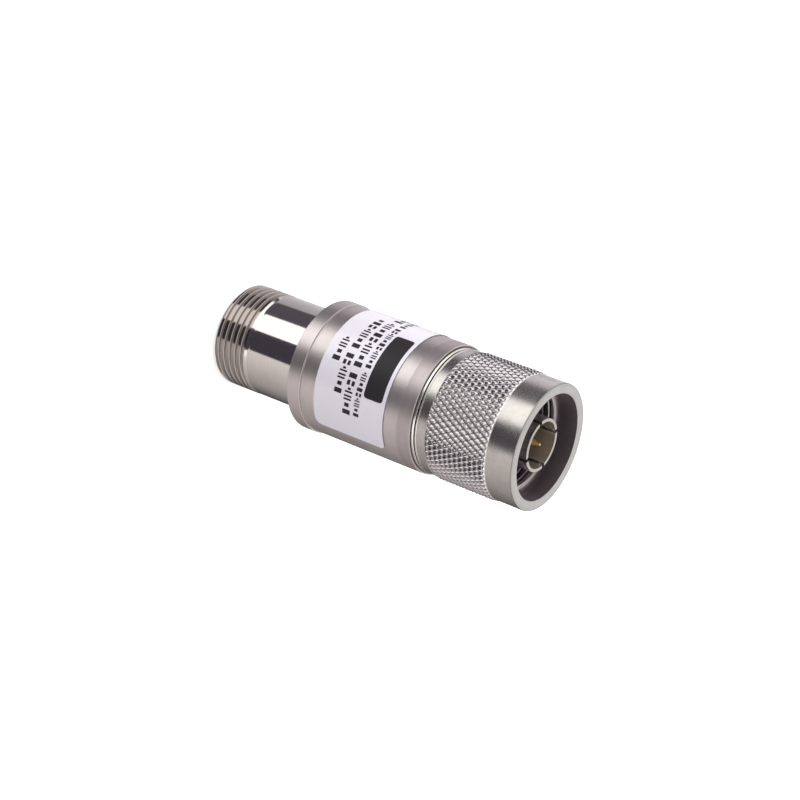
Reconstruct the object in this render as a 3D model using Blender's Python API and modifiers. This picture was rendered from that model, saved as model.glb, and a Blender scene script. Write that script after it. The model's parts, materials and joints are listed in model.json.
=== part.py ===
"""Coaxial attenuator with a threaded jack at one end and a plug with a knurled nut at the other.

Lengths are in metres. The axis of the body is Z: the jack's end face lies at Z = 0 and the plug
points up. Every turned piece is a profile of (radius, height) points, spun about Z.
"""

import math

import bmesh
import bpy

# Clearances between pieces
SEAM_GAP = 0.00005
FIT_GAP = 0.00005
RUNNING_GAP = 0.0002
EDGE_BREAK = 0.00008

# Facets round a turn
KNURL_STARTS = 66
SHELL_STEPS = 40
CONTACT_STEPS = 32
INNER_STEPS = 24
SMALL_STEPS = 16
SPRING_STEPS = 32

# Coaxial line inside the body
LINE_RADIUS = 0.0035
LINE_WALL = 0.0011
CONDUCTOR_RADIUS = 0.00152
INSULATOR_LENGTH = 0.003
COLLET_RADIUS = 0.0019
COLLET_WALL = 0.00065
COLLET_LENGTH = 0.0035
COLLET_BORE_DEPTH = 0.0018
COLLET_SLOT_WIDTH = 0.0004

# Resistors of the T pad
ROD_RADIUS = 0.00095
CAP_WALL = 0.0002
CAP_LENGTH = 0.0015
DISC_THICKNESS = 0.0006
DISC_EDGE_GAP = 0.00022
HUB_HALF_WEB = 0.0008
HUB_FLANGE_RADIUS = 0.0026
HUB_FLANGE_WIDTH = 0.00045

# Plug's outer contact, centre pin and gasket
CONTACT_WALL = 0.00055
CONTACT_REACH = 0.0159
CONTACT_BASE_LENGTH = 0.00195
CONTACT_EDGE = 0.00012
CONTACT_SLOT_WIDTH = 0.0006
CONTACT_SLOT_DEPTH = 0.006
PIN_RADIUS = 0.00083
PIN_SHOULDER_SETBACK = 0.0055
PIN_TIP_SETBACK = 0.00025
PIN_TIP_RADIUS = 0.00022
PIN_TIP_STEPS = 2
PIN_TAPER_LENGTH = 0.002
GASKET_THICKNESS = 0.0014
GASKET_WIDTH = 0.0015
GASKET_SIDE_GAP = 0.00038

# Jack: threaded barrel with a rim that closes the housing
THREAD_RADIUS = 0.00794
THREAD_DEPTH = 0.00056
THREAD_LENGTH = 0.0063
THREAD_LEAD_DEPTH = 0.00064
THREAD_LEAD_LENGTH = 0.00065
RELIEF_DEPTH = 0.00022
RELIEF_WIDTH = 0.0009
NECK_SETBACK = 0.00004
JACK_NECK_LENGTH = 0.0164
RIM_PROUD = 0.00021
RIM_WIDTH = 0.0023
JACK_BORE_GAP = 0.00002
JACK_BORE_DEPTH = 0.0091
JACK_BORE_LEAD = 0.0004
JACK_LIP_WIDTH = 0.0015

# Jack's centre contact
SOCKET_SETBACK = 0.0044
SOCKET_BORE_GAP = 0.00004
SOCKET_BORE_DEPTH = 0.005
SOCKET_SLOT_WIDTH = 0.00025
SOCKET_SLOT_DEPTH = 0.0032

# Housing tube, the spigots that enter it and their seals
HOUSING_STEP = 0.00041
HOUSING_WALL = 0.0015
HOUSING_LENGTH = 0.01745
SPIGOT_LENGTH = 0.0035
SEAL_GROOVE_DEPTH = 0.0008
SEAL_GROOVE_WIDTH = 0.0013
SEAL_GROOVE_SETBACK = 0.0011
SEAL_SECTION_STEPS = 6

# Wave spring that clamps the line sleeves
SPRING_SPACE = 0.0007
SPRING_THICKNESS = 0.0002
SPRING_WAVES = 4
SPRING_WIDTH = 0.0016

# Plug: flange, shoulder, nut journal and ring groove
FLANGE_WIDTH = 0.00225
SHOULDER_SETBACK = 0.0004
SHOULDER_WIDTH = 0.00035
JOURNAL_SETBACK = 0.00048
JOURNAL_LENGTH = 0.00505
RING_SETBACK = 0.0027
RING_THICKNESS = 0.00085
RING_GROOVE_DEPTH = 0.0008
RING_PROUD = 0.0007
RING_SPLIT_WIDTH = 0.0012
RING_SIDE_GAP = 0.00012

# Coupling nut
NUT_END_GAP = 0.0002
NUT_LENGTH = 0.01635
NUT_WALL = 0.00153
NUT_EDGE = 0.00015
NUT_REAR_RIM = 0.0018
NUT_FRONT_BAND = 0.0044
KNURL_HEIGHT = 0.00025
KNURL_DEPTH = 0.00036
KNURL_ROWS = 12
KNURL_END_BEVEL = 0.00015
NUT_LAND_GAP = 0.0004
NUT_LAND_LENGTH = 0.0007
NUT_RELIEF_GAP = 0.00006
NUT_RELIEF_LENGTH = 0.0014
NUT_MOUTH_GAP = 0.00004
NUT_MOUTH_DEPTH = 0.00375

# Label wrapped round the housing
LABEL_JACK_MARGIN = 0.0026
LABEL_PLUG_MARGIN = 0.00235
LABEL_THICKNESS = 0.0001
LABEL_GLUE_GAP = 0.00002
LABEL_CORNER = 0.001
LABEL_START_ANGLE = math.radians(-31.5)
LABEL_WRAP_ANGLE = math.radians(200)
LABEL_STEPS = 26
LABEL_CORNER_STEPS = 4

# Radii of the nut and the jack, which follow from the thread
NUT_THREAD_RADIUS = THREAD_RADIUS - THREAD_DEPTH
NUT_RELIEF_RADIUS = THREAD_RADIUS + NUT_RELIEF_GAP
NUT_MOUTH_RADIUS = THREAD_RADIUS + NUT_MOUTH_GAP
NUT_RADIUS = NUT_MOUTH_RADIUS + NUT_WALL
JACK_NECK_RADIUS = THREAD_RADIUS - NECK_SETBACK
RELIEF_RADIUS = JACK_NECK_RADIUS - RELIEF_DEPTH
JOURNAL_RADIUS = NUT_THREAD_RADIUS - JOURNAL_SETBACK
RING_GROOVE_RADIUS = JOURNAL_RADIUS - RING_GROOVE_DEPTH
RING_RADIUS = JOURNAL_RADIUS + RING_PROUD
GASKET_RADIUS = NUT_THREAD_RADIUS - GASKET_SIDE_GAP

# Radii of the body, which is a step wider than the nut
HOUSING_RADIUS = NUT_RADIUS + HOUSING_STEP
HOUSING_BORE_RADIUS = HOUSING_RADIUS - HOUSING_WALL
SPIGOT_RADIUS = HOUSING_BORE_RADIUS - FIT_GAP
SEAL_GROOVE_RADIUS = SPIGOT_RADIUS - SEAL_GROOVE_DEPTH
SHOULDER_RADIUS = HOUSING_RADIUS - SHOULDER_SETBACK
RIM_RADIUS = HOUSING_RADIUS + RIM_PROUD
DISC_RADIUS = HOUSING_BORE_RADIUS - DISC_EDGE_GAP

# Radii of the coaxial line and its contacts
SLEEVE_RADIUS = LINE_RADIUS + LINE_WALL
SLEEVE_BORE_RADIUS = SLEEVE_RADIUS + FIT_GAP
COLLET_BORE_RADIUS = COLLET_RADIUS - COLLET_WALL
CAP_RADIUS = COLLET_BORE_RADIUS - FIT_GAP
CONTACT_RADIUS = LINE_RADIUS + CONTACT_WALL
JACK_BORE_RADIUS = CONTACT_RADIUS + JACK_BORE_GAP
SOCKET_BORE_RADIUS = PIN_RADIUS + SOCKET_BORE_GAP

# Heights of the shells, the housing and the nut
RIM_TOP = JACK_NECK_LENGTH + RIM_WIDTH
HOUSING_BOTTOM = RIM_TOP + SEAM_GAP
HOUSING_TOP = HOUSING_BOTTOM + HOUSING_LENGTH
FLANGE_BOTTOM = HOUSING_TOP + SEAM_GAP
FLANGE_TOP = FLANGE_BOTTOM + FLANGE_WIDTH
SHOULDER_TOP = FLANGE_TOP + SHOULDER_WIDTH
JOURNAL_TOP = SHOULDER_TOP + JOURNAL_LENGTH
NUT_BOTTOM = SHOULDER_TOP + NUT_END_GAP
NUT_TOP = NUT_BOTTOM + NUT_LENGTH
JACK_SPIGOT_TOP = RIM_TOP + SPIGOT_LENGTH
PLUG_SPIGOT_BOTTOM = FLANGE_BOTTOM - SPIGOT_LENGTH
SPRING_BOTTOM = PLUG_SPIGOT_BOTTOM - SPRING_SPACE
CONTACT_TOP = FLANGE_TOP + CONTACT_REACH
CONTACT_BASE_BOTTOM = JOURNAL_TOP - CONTACT_BASE_LENGTH
RING_BOTTOM = SHOULDER_TOP + RING_SETBACK
RING_TOP = RING_BOTTOM + RING_THICKNESS

# Heights of the insulators, with the disc halfway between them
LIP_TOP = JACK_BORE_DEPTH + JACK_LIP_WIDTH
JACK_INSULATOR_BOTTOM = LIP_TOP + FIT_GAP
JACK_INSULATOR_TOP = JACK_INSULATOR_BOTTOM + INSULATOR_LENGTH
PLUG_INSULATOR_TOP = CONTACT_BASE_BOTTOM - FIT_GAP
PLUG_INSULATOR_BOTTOM = PLUG_INSULATOR_TOP - INSULATOR_LENGTH
LINE_MIDDLE = (JACK_INSULATOR_TOP + PLUG_INSULATOR_BOTTOM) / 2
DISC_BOTTOM = LINE_MIDDLE - DISC_THICKNESS / 2
DISC_TOP = LINE_MIDDLE + DISC_THICKNESS / 2
JACK_COLLET_BOTTOM = JACK_INSULATOR_TOP + FIT_GAP
PLUG_COLLET_TOP = PLUG_INSULATOR_BOTTOM - FIT_GAP

NICKEL = ((0.66, 0.63, 0.60), 0.16, 1.0)
SATIN_NICKEL = ((0.58, 0.55, 0.53), 0.34, 1.0)
GOLD = ((0.83, 0.61, 0.25), 0.22, 1.0)
BRASS = ((0.72, 0.55, 0.27), 0.3, 1.0)
SPRING_BRONZE = ((0.62, 0.42, 0.26), 0.35, 1.0)
SILVER = ((0.80, 0.79, 0.76), 0.25, 1.0)
INSULATOR_WHITE = ((0.86, 0.86, 0.84), 0.5, 0.0)
RESISTIVE_FILM = ((0.06, 0.05, 0.05), 0.55, 0.0)
RUBBER_BLACK = ((0.03, 0.03, 0.03), 0.7, 0.0)
LABEL_WHITE = ((0.85, 0.84, 0.88), 0.4, 0.0)


def clear_scene():
    """Remove every object that the file starts with."""
    for item in list(bpy.data.objects):
        bpy.data.objects.remove(item, do_unlink=True)


def new_collection(name):
    """Make a collection and link it to the scene."""
    collection = bpy.data.collections.new(name)
    bpy.context.scene.collection.children.link(collection)
    return collection


def make_material(name, finish):
    """Make a Principled material from its colour, roughness and metallic value."""
    colour, roughness, metallic = finish
    material = bpy.data.materials.new(name)
    material.use_nodes = True
    shader = material.node_tree.nodes["Principled BSDF"]
    shader.inputs["Base Color"].default_value = (*colour, 1.0)
    shader.inputs["Roughness"].default_value = roughness
    shader.inputs["Metallic"].default_value = metallic
    return material


def evaluated_mesh(item):
    """Return the object's mesh with its modifiers applied."""
    bpy.context.view_layer.update()
    depsgraph = bpy.context.evaluated_depsgraph_get()
    return bpy.data.meshes.new_from_object(item.evaluated_get(depsgraph))


def add_piece(name, mesh, finish, parent=None):
    """Put a finished mesh in the part's collection, shaded smooth but for its sharp edges."""
    mesh.name = name
    mesh.shade_smooth()
    mesh.set_sharp_from_angle(angle=math.radians(32))
    mesh.materials.clear()
    mesh.materials.append(make_material(name, finish))
    piece = bpy.data.objects.new(name, mesh)
    PARTS.objects.link(piece)
    piece.parent = parent
    return piece


def turned_mesh(name, profile, steps, on_axis=False):
    """Spin (radius, height) points about Z, listed down the outer side and up the inner side.

    A profile that is on the axis starts and ends there, and any other one is a closed ring.
    """
    count = len(profile)
    links = [(i, i + 1) for i in range(count - 1)]
    if not on_axis:
        links.append((count - 1, 0))
    outline = bpy.data.meshes.new(name + "_profile")
    outline.from_pydata([(radius, 0.0, height) for radius, height in profile], links, [])
    blank = bpy.data.objects.new(name + "_profile", outline)
    PARTS.objects.link(blank)
    screw = blank.modifiers.new("Turn", "SCREW")
    screw.axis = "Z"
    screw.angle = 2 * math.pi
    screw.steps = steps
    screw.render_steps = steps
    screw.use_merge_vertices = True
    screw.merge_threshold = 0.000001
    mesh = evaluated_mesh(blank)
    bpy.data.objects.remove(blank, do_unlink=True)
    return mesh


def turned_piece(name, profile, steps, finish, on_axis=False):
    """Make a turned piece with nothing cut from it."""
    return add_piece(name, turned_mesh(name, profile, steps, on_axis), finish)


def box_cutter(name, size, centre, turn=0.0):
    """Make a box that is only used to cut, turned about Z."""
    bpy.ops.mesh.primitive_cube_add(size=1.0, location=centre, rotation=(0.0, 0.0, turn))
    cutter = bpy.context.active_object
    cutter.name = name
    cutter.scale = size
    bpy.ops.object.transform_apply(location=False, rotation=False, scale=True)
    for owner in list(cutter.users_collection):
        owner.objects.unlink(cutter)
    CUTTERS.objects.link(cutter)
    cutter.hide_render = True
    cutter.display_type = "WIRE"
    return cutter


def cut_mesh(mesh, cutters):
    """Return the mesh with each cutter's space taken out of it."""
    blank = bpy.data.objects.new("blank", mesh)
    PARTS.objects.link(blank)
    for cutter in cutters:
        cut = blank.modifiers.new("Cut", "BOOLEAN")
        cut.operation = "DIFFERENCE"
        cut.solver = "EXACT"
        cut.object = cutter
    result = evaluated_mesh(blank)
    bpy.data.objects.remove(blank, do_unlink=True)
    return result


def crossed_slots(name, reach, width, bottom, top, first_turn, count):
    """Make the cutters of slots that pass right through a tube, evenly turned about Z."""
    cutters = []
    for index in range(count):
        turn = first_turn + index * math.pi / count
        size = (2 * reach, width, top - bottom)
        centre = (0.0, 0.0, (top + bottom) / 2)
        cutters.append(box_cutter(f"{name}_{index + 1}", size, centre, turn))
    return cutters


def seal_groove(outer, first, second):
    """List the four profile points of a seal's groove, from the height first to second."""
    root = outer - SEAL_GROOVE_DEPTH
    return [(outer, first), (root, first), (root, second), (outer, second)]


def make_housing():
    """The plain tube that joins both ends and holds the resistors."""
    profile = [
        (HOUSING_RADIUS - EDGE_BREAK, HOUSING_TOP),
        (HOUSING_RADIUS, HOUSING_TOP - EDGE_BREAK),
        (HOUSING_RADIUS, HOUSING_BOTTOM + EDGE_BREAK),
        (HOUSING_RADIUS - EDGE_BREAK, HOUSING_BOTTOM),
        (HOUSING_BORE_RADIUS, HOUSING_BOTTOM),
        (HOUSING_BORE_RADIUS, HOUSING_TOP),
    ]
    turned_piece("housing", profile, SHELL_STEPS, SATIN_NICKEL)


def make_jack_shell():
    """The jack's body: spigot, rim, barrel, thread and the stepped bore."""
    groove_top = JACK_SPIGOT_TOP - SEAL_GROOVE_SETBACK
    neck_bottom = THREAD_LENGTH + RELIEF_WIDTH
    outside = [
        (SPIGOT_RADIUS, JACK_SPIGOT_TOP),
        *seal_groove(SPIGOT_RADIUS, groove_top, groove_top - SEAL_GROOVE_WIDTH),
        (SPIGOT_RADIUS, RIM_TOP),
        (RIM_RADIUS - EDGE_BREAK, RIM_TOP),
        (RIM_RADIUS, RIM_TOP - EDGE_BREAK),
        (RIM_RADIUS, JACK_NECK_LENGTH + EDGE_BREAK),
        (RIM_RADIUS - EDGE_BREAK, JACK_NECK_LENGTH),
        (JACK_NECK_RADIUS, JACK_NECK_LENGTH),
        (JACK_NECK_RADIUS, neck_bottom),
        (RELIEF_RADIUS, neck_bottom - RELIEF_DEPTH),
        (RELIEF_RADIUS, THREAD_LENGTH + RELIEF_DEPTH),
        (THREAD_RADIUS, THREAD_LENGTH),
        (THREAD_RADIUS, THREAD_LEAD_LENGTH),
        (THREAD_RADIUS - THREAD_LEAD_DEPTH, 0.0),
    ]
    inside = [
        (JACK_BORE_RADIUS + JACK_BORE_LEAD, 0.0),
        (JACK_BORE_RADIUS, JACK_BORE_LEAD),
        (JACK_BORE_RADIUS, JACK_BORE_DEPTH),
        (LINE_RADIUS, JACK_BORE_DEPTH),
        (LINE_RADIUS, LIP_TOP),
        (SLEEVE_BORE_RADIUS, LIP_TOP),
        (SLEEVE_BORE_RADIUS, JACK_SPIGOT_TOP),
    ]
    turned_piece("jack_shell", outside + inside, SHELL_STEPS, NICKEL)


def make_plug_shell():
    """The plug's body: nut journal with its ring groove, shoulder, flange and spigot."""
    seal_bottom = PLUG_SPIGOT_BOTTOM + SEAL_GROOVE_SETBACK
    outside = [
        (JOURNAL_RADIUS, JOURNAL_TOP),
        (JOURNAL_RADIUS, RING_TOP + RING_SIDE_GAP),
        (RING_GROOVE_RADIUS, RING_TOP + RING_SIDE_GAP),
        (RING_GROOVE_RADIUS, RING_BOTTOM - RING_SIDE_GAP),
        (JOURNAL_RADIUS, RING_BOTTOM - RING_SIDE_GAP),
        (JOURNAL_RADIUS, SHOULDER_TOP),
        (SHOULDER_RADIUS, SHOULDER_TOP),
        (SHOULDER_RADIUS, FLANGE_TOP),
        (HOUSING_RADIUS - EDGE_BREAK, FLANGE_TOP),
        (HOUSING_RADIUS, FLANGE_TOP - EDGE_BREAK),
        (HOUSING_RADIUS, FLANGE_BOTTOM + EDGE_BREAK),
        (HOUSING_RADIUS - EDGE_BREAK, FLANGE_BOTTOM),
        (SPIGOT_RADIUS, FLANGE_BOTTOM),
        *seal_groove(SPIGOT_RADIUS, seal_bottom + SEAL_GROOVE_WIDTH, seal_bottom),
        (SPIGOT_RADIUS, PLUG_SPIGOT_BOTTOM),
    ]
    inside = [(SLEEVE_BORE_RADIUS, PLUG_SPIGOT_BOTTOM), (SLEEVE_BORE_RADIUS, JOURNAL_TOP)]
    turned_piece("plug_shell", outside + inside, SHELL_STEPS, SATIN_NICKEL)


def make_seal(name, groove_middle):
    """A rubber ring that fills the groove of a spigot against the housing's bore."""
    section = (HOUSING_BORE_RADIUS - SEAL_GROOVE_RADIUS) / 2 - FIT_GAP
    bpy.ops.mesh.primitive_torus_add(
        major_radius=(HOUSING_BORE_RADIUS + SEAL_GROOVE_RADIUS) / 2,
        minor_radius=section,
        major_segments=INNER_STEPS,
        minor_segments=SEAL_SECTION_STEPS,
        location=(0.0, 0.0, 0.0),
    )
    ring = bpy.context.active_object
    mesh = ring.data.copy()
    bpy.data.objects.remove(ring, do_unlink=True)
    piece = add_piece(name, mesh, RUBBER_BLACK)
    piece.location = (0.0, 0.0, groove_middle)


def make_seals():
    """One seal on each spigot."""
    middle = SEAL_GROOVE_SETBACK + SEAL_GROOVE_WIDTH / 2
    make_seal("jack_o_ring", JACK_SPIGOT_TOP - middle)
    make_seal("plug_o_ring", PLUG_SPIGOT_BOTTOM + middle)


def make_insulator(name, bottom):
    """A white bead that holds a centre contact on the axis."""
    profile = [
        (SLEEVE_RADIUS, bottom + INSULATOR_LENGTH),
        (SLEEVE_RADIUS, bottom),
        (CONDUCTOR_RADIUS + FIT_GAP, bottom),
        (CONDUCTOR_RADIUS + FIT_GAP, bottom + INSULATOR_LENGTH),
    ]
    turned_piece(name, profile, INNER_STEPS, INSULATOR_WHITE)


def make_line_sleeves():
    """The two flanged tubes that carry the line's outer conductor and clamp the disc."""
    flange_radius = HOUSING_BORE_RADIUS - FIT_GAP
    flange_bottom = JACK_SPIGOT_TOP + FIT_GAP
    nose_bottom = JACK_INSULATOR_TOP + FIT_GAP
    face = DISC_BOTTOM - FIT_GAP
    jack_side = [
        (flange_radius, face),
        (flange_radius, flange_bottom),
        (SLEEVE_RADIUS, flange_bottom),
        (SLEEVE_RADIUS, nose_bottom),
        (LINE_RADIUS, nose_bottom),
        (LINE_RADIUS, face),
    ]
    turned_piece("jack_line_sleeve", jack_side, INNER_STEPS, BRASS)
    flange_top = SPRING_BOTTOM
    nose_top = PLUG_INSULATOR_BOTTOM - FIT_GAP
    face = DISC_TOP + FIT_GAP
    plug_side = [
        (SLEEVE_RADIUS, nose_top),
        (SLEEVE_RADIUS, flange_top),
        (flange_radius, flange_top),
        (flange_radius, face),
        (LINE_RADIUS, face),
        (LINE_RADIUS, nose_top),
    ]
    turned_piece("plug_line_sleeve", plug_side, INNER_STEPS, BRASS)


def make_wave_spring():
    """A thin waved washer between the plug's spigot and its line sleeve."""
    middle = SPRING_BOTTOM + SPRING_SPACE / 2
    outer_radius = HOUSING_BORE_RADIUS - RUNNING_GAP
    inner_radius = outer_radius - SPRING_WIDTH
    half = SPRING_THICKNESS / 2
    wave = SPRING_SPACE / 2 - FIT_GAP - half
    profile = [
        (outer_radius, middle + half),
        (outer_radius, middle - half),
        (inner_radius, middle - half),
        (inner_radius, middle + half),
    ]
    mesh = turned_mesh("wave_spring", profile, SPRING_STEPS)
    for vertex in mesh.vertices:
        angle = math.atan2(vertex.co.y, vertex.co.x)
        vertex.co.z += wave * math.cos(SPRING_WAVES * angle)
    add_piece("wave_spring", mesh, SPRING_BRONZE)


def make_series_resistor(side, bottom, top):
    """A film resistor rod with a pressed metal cap on each end."""
    rod_bottom = bottom + CAP_WALL + FIT_GAP
    rod_top = top - CAP_WALL - FIT_GAP
    rod = [
        (0.0, rod_top),
        (ROD_RADIUS, rod_top),
        (ROD_RADIUS, rod_bottom),
        (0.0, rod_bottom),
    ]
    turned_piece(f"{side}_series_resistor", rod, SMALL_STEPS, RESISTIVE_FILM, on_axis=True)
    bore = ROD_RADIUS + FIT_GAP / 2
    lower_cap = [
        (0.0, bottom + CAP_WALL),
        (bore, bottom + CAP_WALL),
        (bore, bottom + CAP_LENGTH),
        (CAP_RADIUS, bottom + CAP_LENGTH),
        (CAP_RADIUS, bottom),
        (0.0, bottom),
    ]
    upper_cap = [
        (0.0, top),
        (CAP_RADIUS, top),
        (CAP_RADIUS, top - CAP_LENGTH),
        (bore, top - CAP_LENGTH),
        (bore, top - CAP_WALL),
        (0.0, top - CAP_WALL),
    ]
    turned_piece(f"{side}_resistor_cap_lower", lower_cap, SMALL_STEPS, SILVER, on_axis=True)
    turned_piece(f"{side}_resistor_cap_upper", upper_cap, SMALL_STEPS, SILVER, on_axis=True)


def make_pad():
    """The T pad: a rod on each side of the hub, and the shunt disc round the hub."""
    hub_floor = HUB_HALF_WEB
    hub_end = HUB_HALF_WEB + COLLET_BORE_DEPTH
    jack_rod_bottom = JACK_COLLET_BOTTOM + COLLET_LENGTH - COLLET_BORE_DEPTH + FIT_GAP
    plug_rod_top = PLUG_COLLET_TOP - COLLET_LENGTH + COLLET_BORE_DEPTH - FIT_GAP
    make_series_resistor("jack", jack_rod_bottom, LINE_MIDDLE - hub_floor - FIT_GAP)
    make_series_resistor("plug", LINE_MIDDLE + hub_floor + FIT_GAP, plug_rod_top)
    flange_top = DISC_BOTTOM - FIT_GAP
    hub = [
        (0.0, LINE_MIDDLE + hub_floor),
        (COLLET_BORE_RADIUS, LINE_MIDDLE + hub_floor),
        (COLLET_BORE_RADIUS, LINE_MIDDLE + hub_end),
        (COLLET_RADIUS, LINE_MIDDLE + hub_end),
        (COLLET_RADIUS, flange_top),
        (HUB_FLANGE_RADIUS, flange_top),
        (HUB_FLANGE_RADIUS, flange_top - HUB_FLANGE_WIDTH),
        (COLLET_RADIUS, flange_top - HUB_FLANGE_WIDTH),
        (COLLET_RADIUS, LINE_MIDDLE - hub_end),
        (COLLET_BORE_RADIUS, LINE_MIDDLE - hub_end),
        (COLLET_BORE_RADIUS, LINE_MIDDLE - hub_floor),
        (0.0, LINE_MIDDLE - hub_floor),
    ]
    turned_piece("junction_hub", hub, SMALL_STEPS, GOLD, on_axis=True)
    disc = [
        (DISC_RADIUS, DISC_TOP),
        (DISC_RADIUS, DISC_BOTTOM),
        (COLLET_RADIUS + FIT_GAP, DISC_BOTTOM),
        (COLLET_RADIUS + FIT_GAP, DISC_TOP),
    ]
    turned_piece("shunt_disc_resistor", disc, INNER_STEPS, RESISTIVE_FILM)


def make_jack_center_contact():
    """The slotted socket, with a collet behind it for the resistor's cap."""
    collet_top = JACK_COLLET_BOTTOM + COLLET_LENGTH
    collet_floor = collet_top - COLLET_BORE_DEPTH
    socket_floor = SOCKET_SETBACK + SOCKET_BORE_DEPTH
    profile = [
        (0.0, collet_floor),
        (COLLET_BORE_RADIUS, collet_floor),
        (COLLET_BORE_RADIUS, collet_top),
        (COLLET_RADIUS, collet_top),
        (COLLET_RADIUS, JACK_COLLET_BOTTOM),
        (CONDUCTOR_RADIUS, JACK_COLLET_BOTTOM),
        (CONDUCTOR_RADIUS, SOCKET_SETBACK + EDGE_BREAK),
        (CONDUCTOR_RADIUS - EDGE_BREAK, SOCKET_SETBACK),
        (SOCKET_BORE_RADIUS + EDGE_BREAK, SOCKET_SETBACK),
        (SOCKET_BORE_RADIUS, SOCKET_SETBACK + EDGE_BREAK),
        (SOCKET_BORE_RADIUS, socket_floor),
        (0.0, socket_floor),
    ]
    mesh = turned_mesh("jack_center_contact", profile, SMALL_STEPS, on_axis=True)
    reach = 2 * CONDUCTOR_RADIUS
    front = SOCKET_SETBACK - SOCKET_SLOT_WIDTH
    cutters = crossed_slots("socket_slot", reach, SOCKET_SLOT_WIDTH, front,
                            SOCKET_SETBACK + SOCKET_SLOT_DEPTH, math.radians(45), 2)
    cutters += crossed_slots("jack_collet_slot", 2 * COLLET_RADIUS, COLLET_SLOT_WIDTH,
                             collet_floor, collet_top + COLLET_SLOT_WIDTH, 0.0, 1)
    add_piece("jack_center_contact", cut_mesh(mesh, cutters), GOLD)


def pin_tip_points(tip):
    """List the points of the rounded tip, from the axis out to where the taper starts."""
    points = []
    for index in range(PIN_TIP_STEPS + 1):
        angle = math.pi / 2 * index / PIN_TIP_STEPS
        drop = PIN_TIP_RADIUS * (1 - math.cos(angle))
        points.append((PIN_TIP_RADIUS * math.sin(angle), tip - drop))
    return points


def make_plug_center_pin():
    """The pointed pin, with a collet behind it for the resistor's cap."""
    collet_bottom = PLUG_COLLET_TOP - COLLET_LENGTH
    collet_floor = collet_bottom + COLLET_BORE_DEPTH
    shoulder = CONTACT_TOP - PIN_SHOULDER_SETBACK
    tip = CONTACT_TOP - PIN_TIP_SETBACK
    profile = [
        *pin_tip_points(tip),
        (PIN_RADIUS, tip - PIN_TAPER_LENGTH),
        (PIN_RADIUS, shoulder),
        (CONDUCTOR_RADIUS, shoulder),
        (CONDUCTOR_RADIUS, PLUG_COLLET_TOP),
        (COLLET_RADIUS, PLUG_COLLET_TOP),
        (COLLET_RADIUS, collet_bottom),
        (COLLET_BORE_RADIUS, collet_bottom),
        (COLLET_BORE_RADIUS, collet_floor),
        (0.0, collet_floor),
    ]
    mesh = turned_mesh("plug_center_pin", profile, SMALL_STEPS, on_axis=True)
    cutters = crossed_slots("plug_collet_slot", 2 * COLLET_RADIUS, COLLET_SLOT_WIDTH,
                            collet_bottom - COLLET_SLOT_WIDTH, collet_floor, 0.0, 1)
    add_piece("plug_center_pin", cut_mesh(mesh, cutters), GOLD)


def make_plug_outer_contact():
    """The sleeve with four fingers that enters the mating jack."""
    profile = [
        (CONTACT_RADIUS - CONTACT_EDGE, CONTACT_TOP),
        (CONTACT_RADIUS, CONTACT_TOP - CONTACT_EDGE),
        (CONTACT_RADIUS, JOURNAL_TOP),
        (SLEEVE_RADIUS, JOURNAL_TOP),
        (SLEEVE_RADIUS, CONTACT_BASE_BOTTOM),
        (LINE_RADIUS, CONTACT_BASE_BOTTOM),
        (LINE_RADIUS, CONTACT_TOP - CONTACT_EDGE),
        (LINE_RADIUS + CONTACT_EDGE, CONTACT_TOP),
    ]
    mesh = turned_mesh("plug_outer_contact", profile, CONTACT_STEPS)
    cutters = crossed_slots("contact_slot", 2 * CONTACT_RADIUS, CONTACT_SLOT_WIDTH,
                            CONTACT_TOP - CONTACT_SLOT_DEPTH, CONTACT_TOP + CONTACT_SLOT_WIDTH,
                            math.radians(45), 2)
    add_piece("plug_outer_contact", cut_mesh(mesh, cutters), NICKEL)


def make_plug_gasket():
    """The flat rubber ring that the mating jack's end presses on."""
    bottom = JOURNAL_TOP + FIT_GAP
    top = bottom + GASKET_THICKNESS
    inner = GASKET_RADIUS - GASKET_WIDTH
    profile = [(GASKET_RADIUS, top), (GASKET_RADIUS, bottom), (inner, bottom), (inner, top)]
    turned_piece("plug_gasket", profile, CONTACT_STEPS, RUBBER_BLACK)


def make_retaining_ring():
    """The split spring ring that keeps the nut on the plug's journal."""
    inner = RING_GROOVE_RADIUS + FIT_GAP
    profile = [
        (RING_RADIUS, RING_TOP),
        (RING_RADIUS, RING_BOTTOM),
        (inner, RING_BOTTOM),
        (inner, RING_TOP),
    ]
    mesh = turned_mesh("retaining_ring", profile, INNER_STEPS)
    middle = (RING_BOTTOM + RING_TOP) / 2
    split = box_cutter("ring_split", (RING_SPLIT_WIDTH, RING_RADIUS, 2 * RING_THICKNESS),
                       (0.0, RING_RADIUS, middle))
    add_piece("retaining_ring", cut_mesh(mesh, [split]), SPRING_BRONZE)


def ring_of_points(bm, radius, height, count):
    """Add an even ring of vertices."""
    ring = []
    for index in range(count):
        angle = 2 * math.pi * index / count
        ring.append(bm.verts.new((radius * math.cos(angle), radius * math.sin(angle), height)))
    return ring


def skin_rings(bm, lower, upper):
    """Join two rings of as many points, with the faces looking away from the axis."""
    count = len(lower)
    for index in range(count):
        after = (index + 1) % count
        bm.faces.new((lower[index], lower[after], upper[after], upper[index]))


def knurl_rings(bm, bottom, top, count):
    """Add the diamond knurl: crests and groove crossings alternate round and along the nut."""
    crest = NUT_RADIUS + KNURL_HEIGHT
    rings = []
    for row in range(KNURL_ROWS + 1):
        height = bottom + (top - bottom) * row / KNURL_ROWS
        ring = ring_of_points(bm, crest, height, count)
        for index, vertex in enumerate(ring):
            if (index + row) % 2:
                sunk = (crest - KNURL_DEPTH) / crest
                vertex.co.x *= sunk
                vertex.co.y *= sunk
        rings.append(ring)
    return rings


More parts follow.
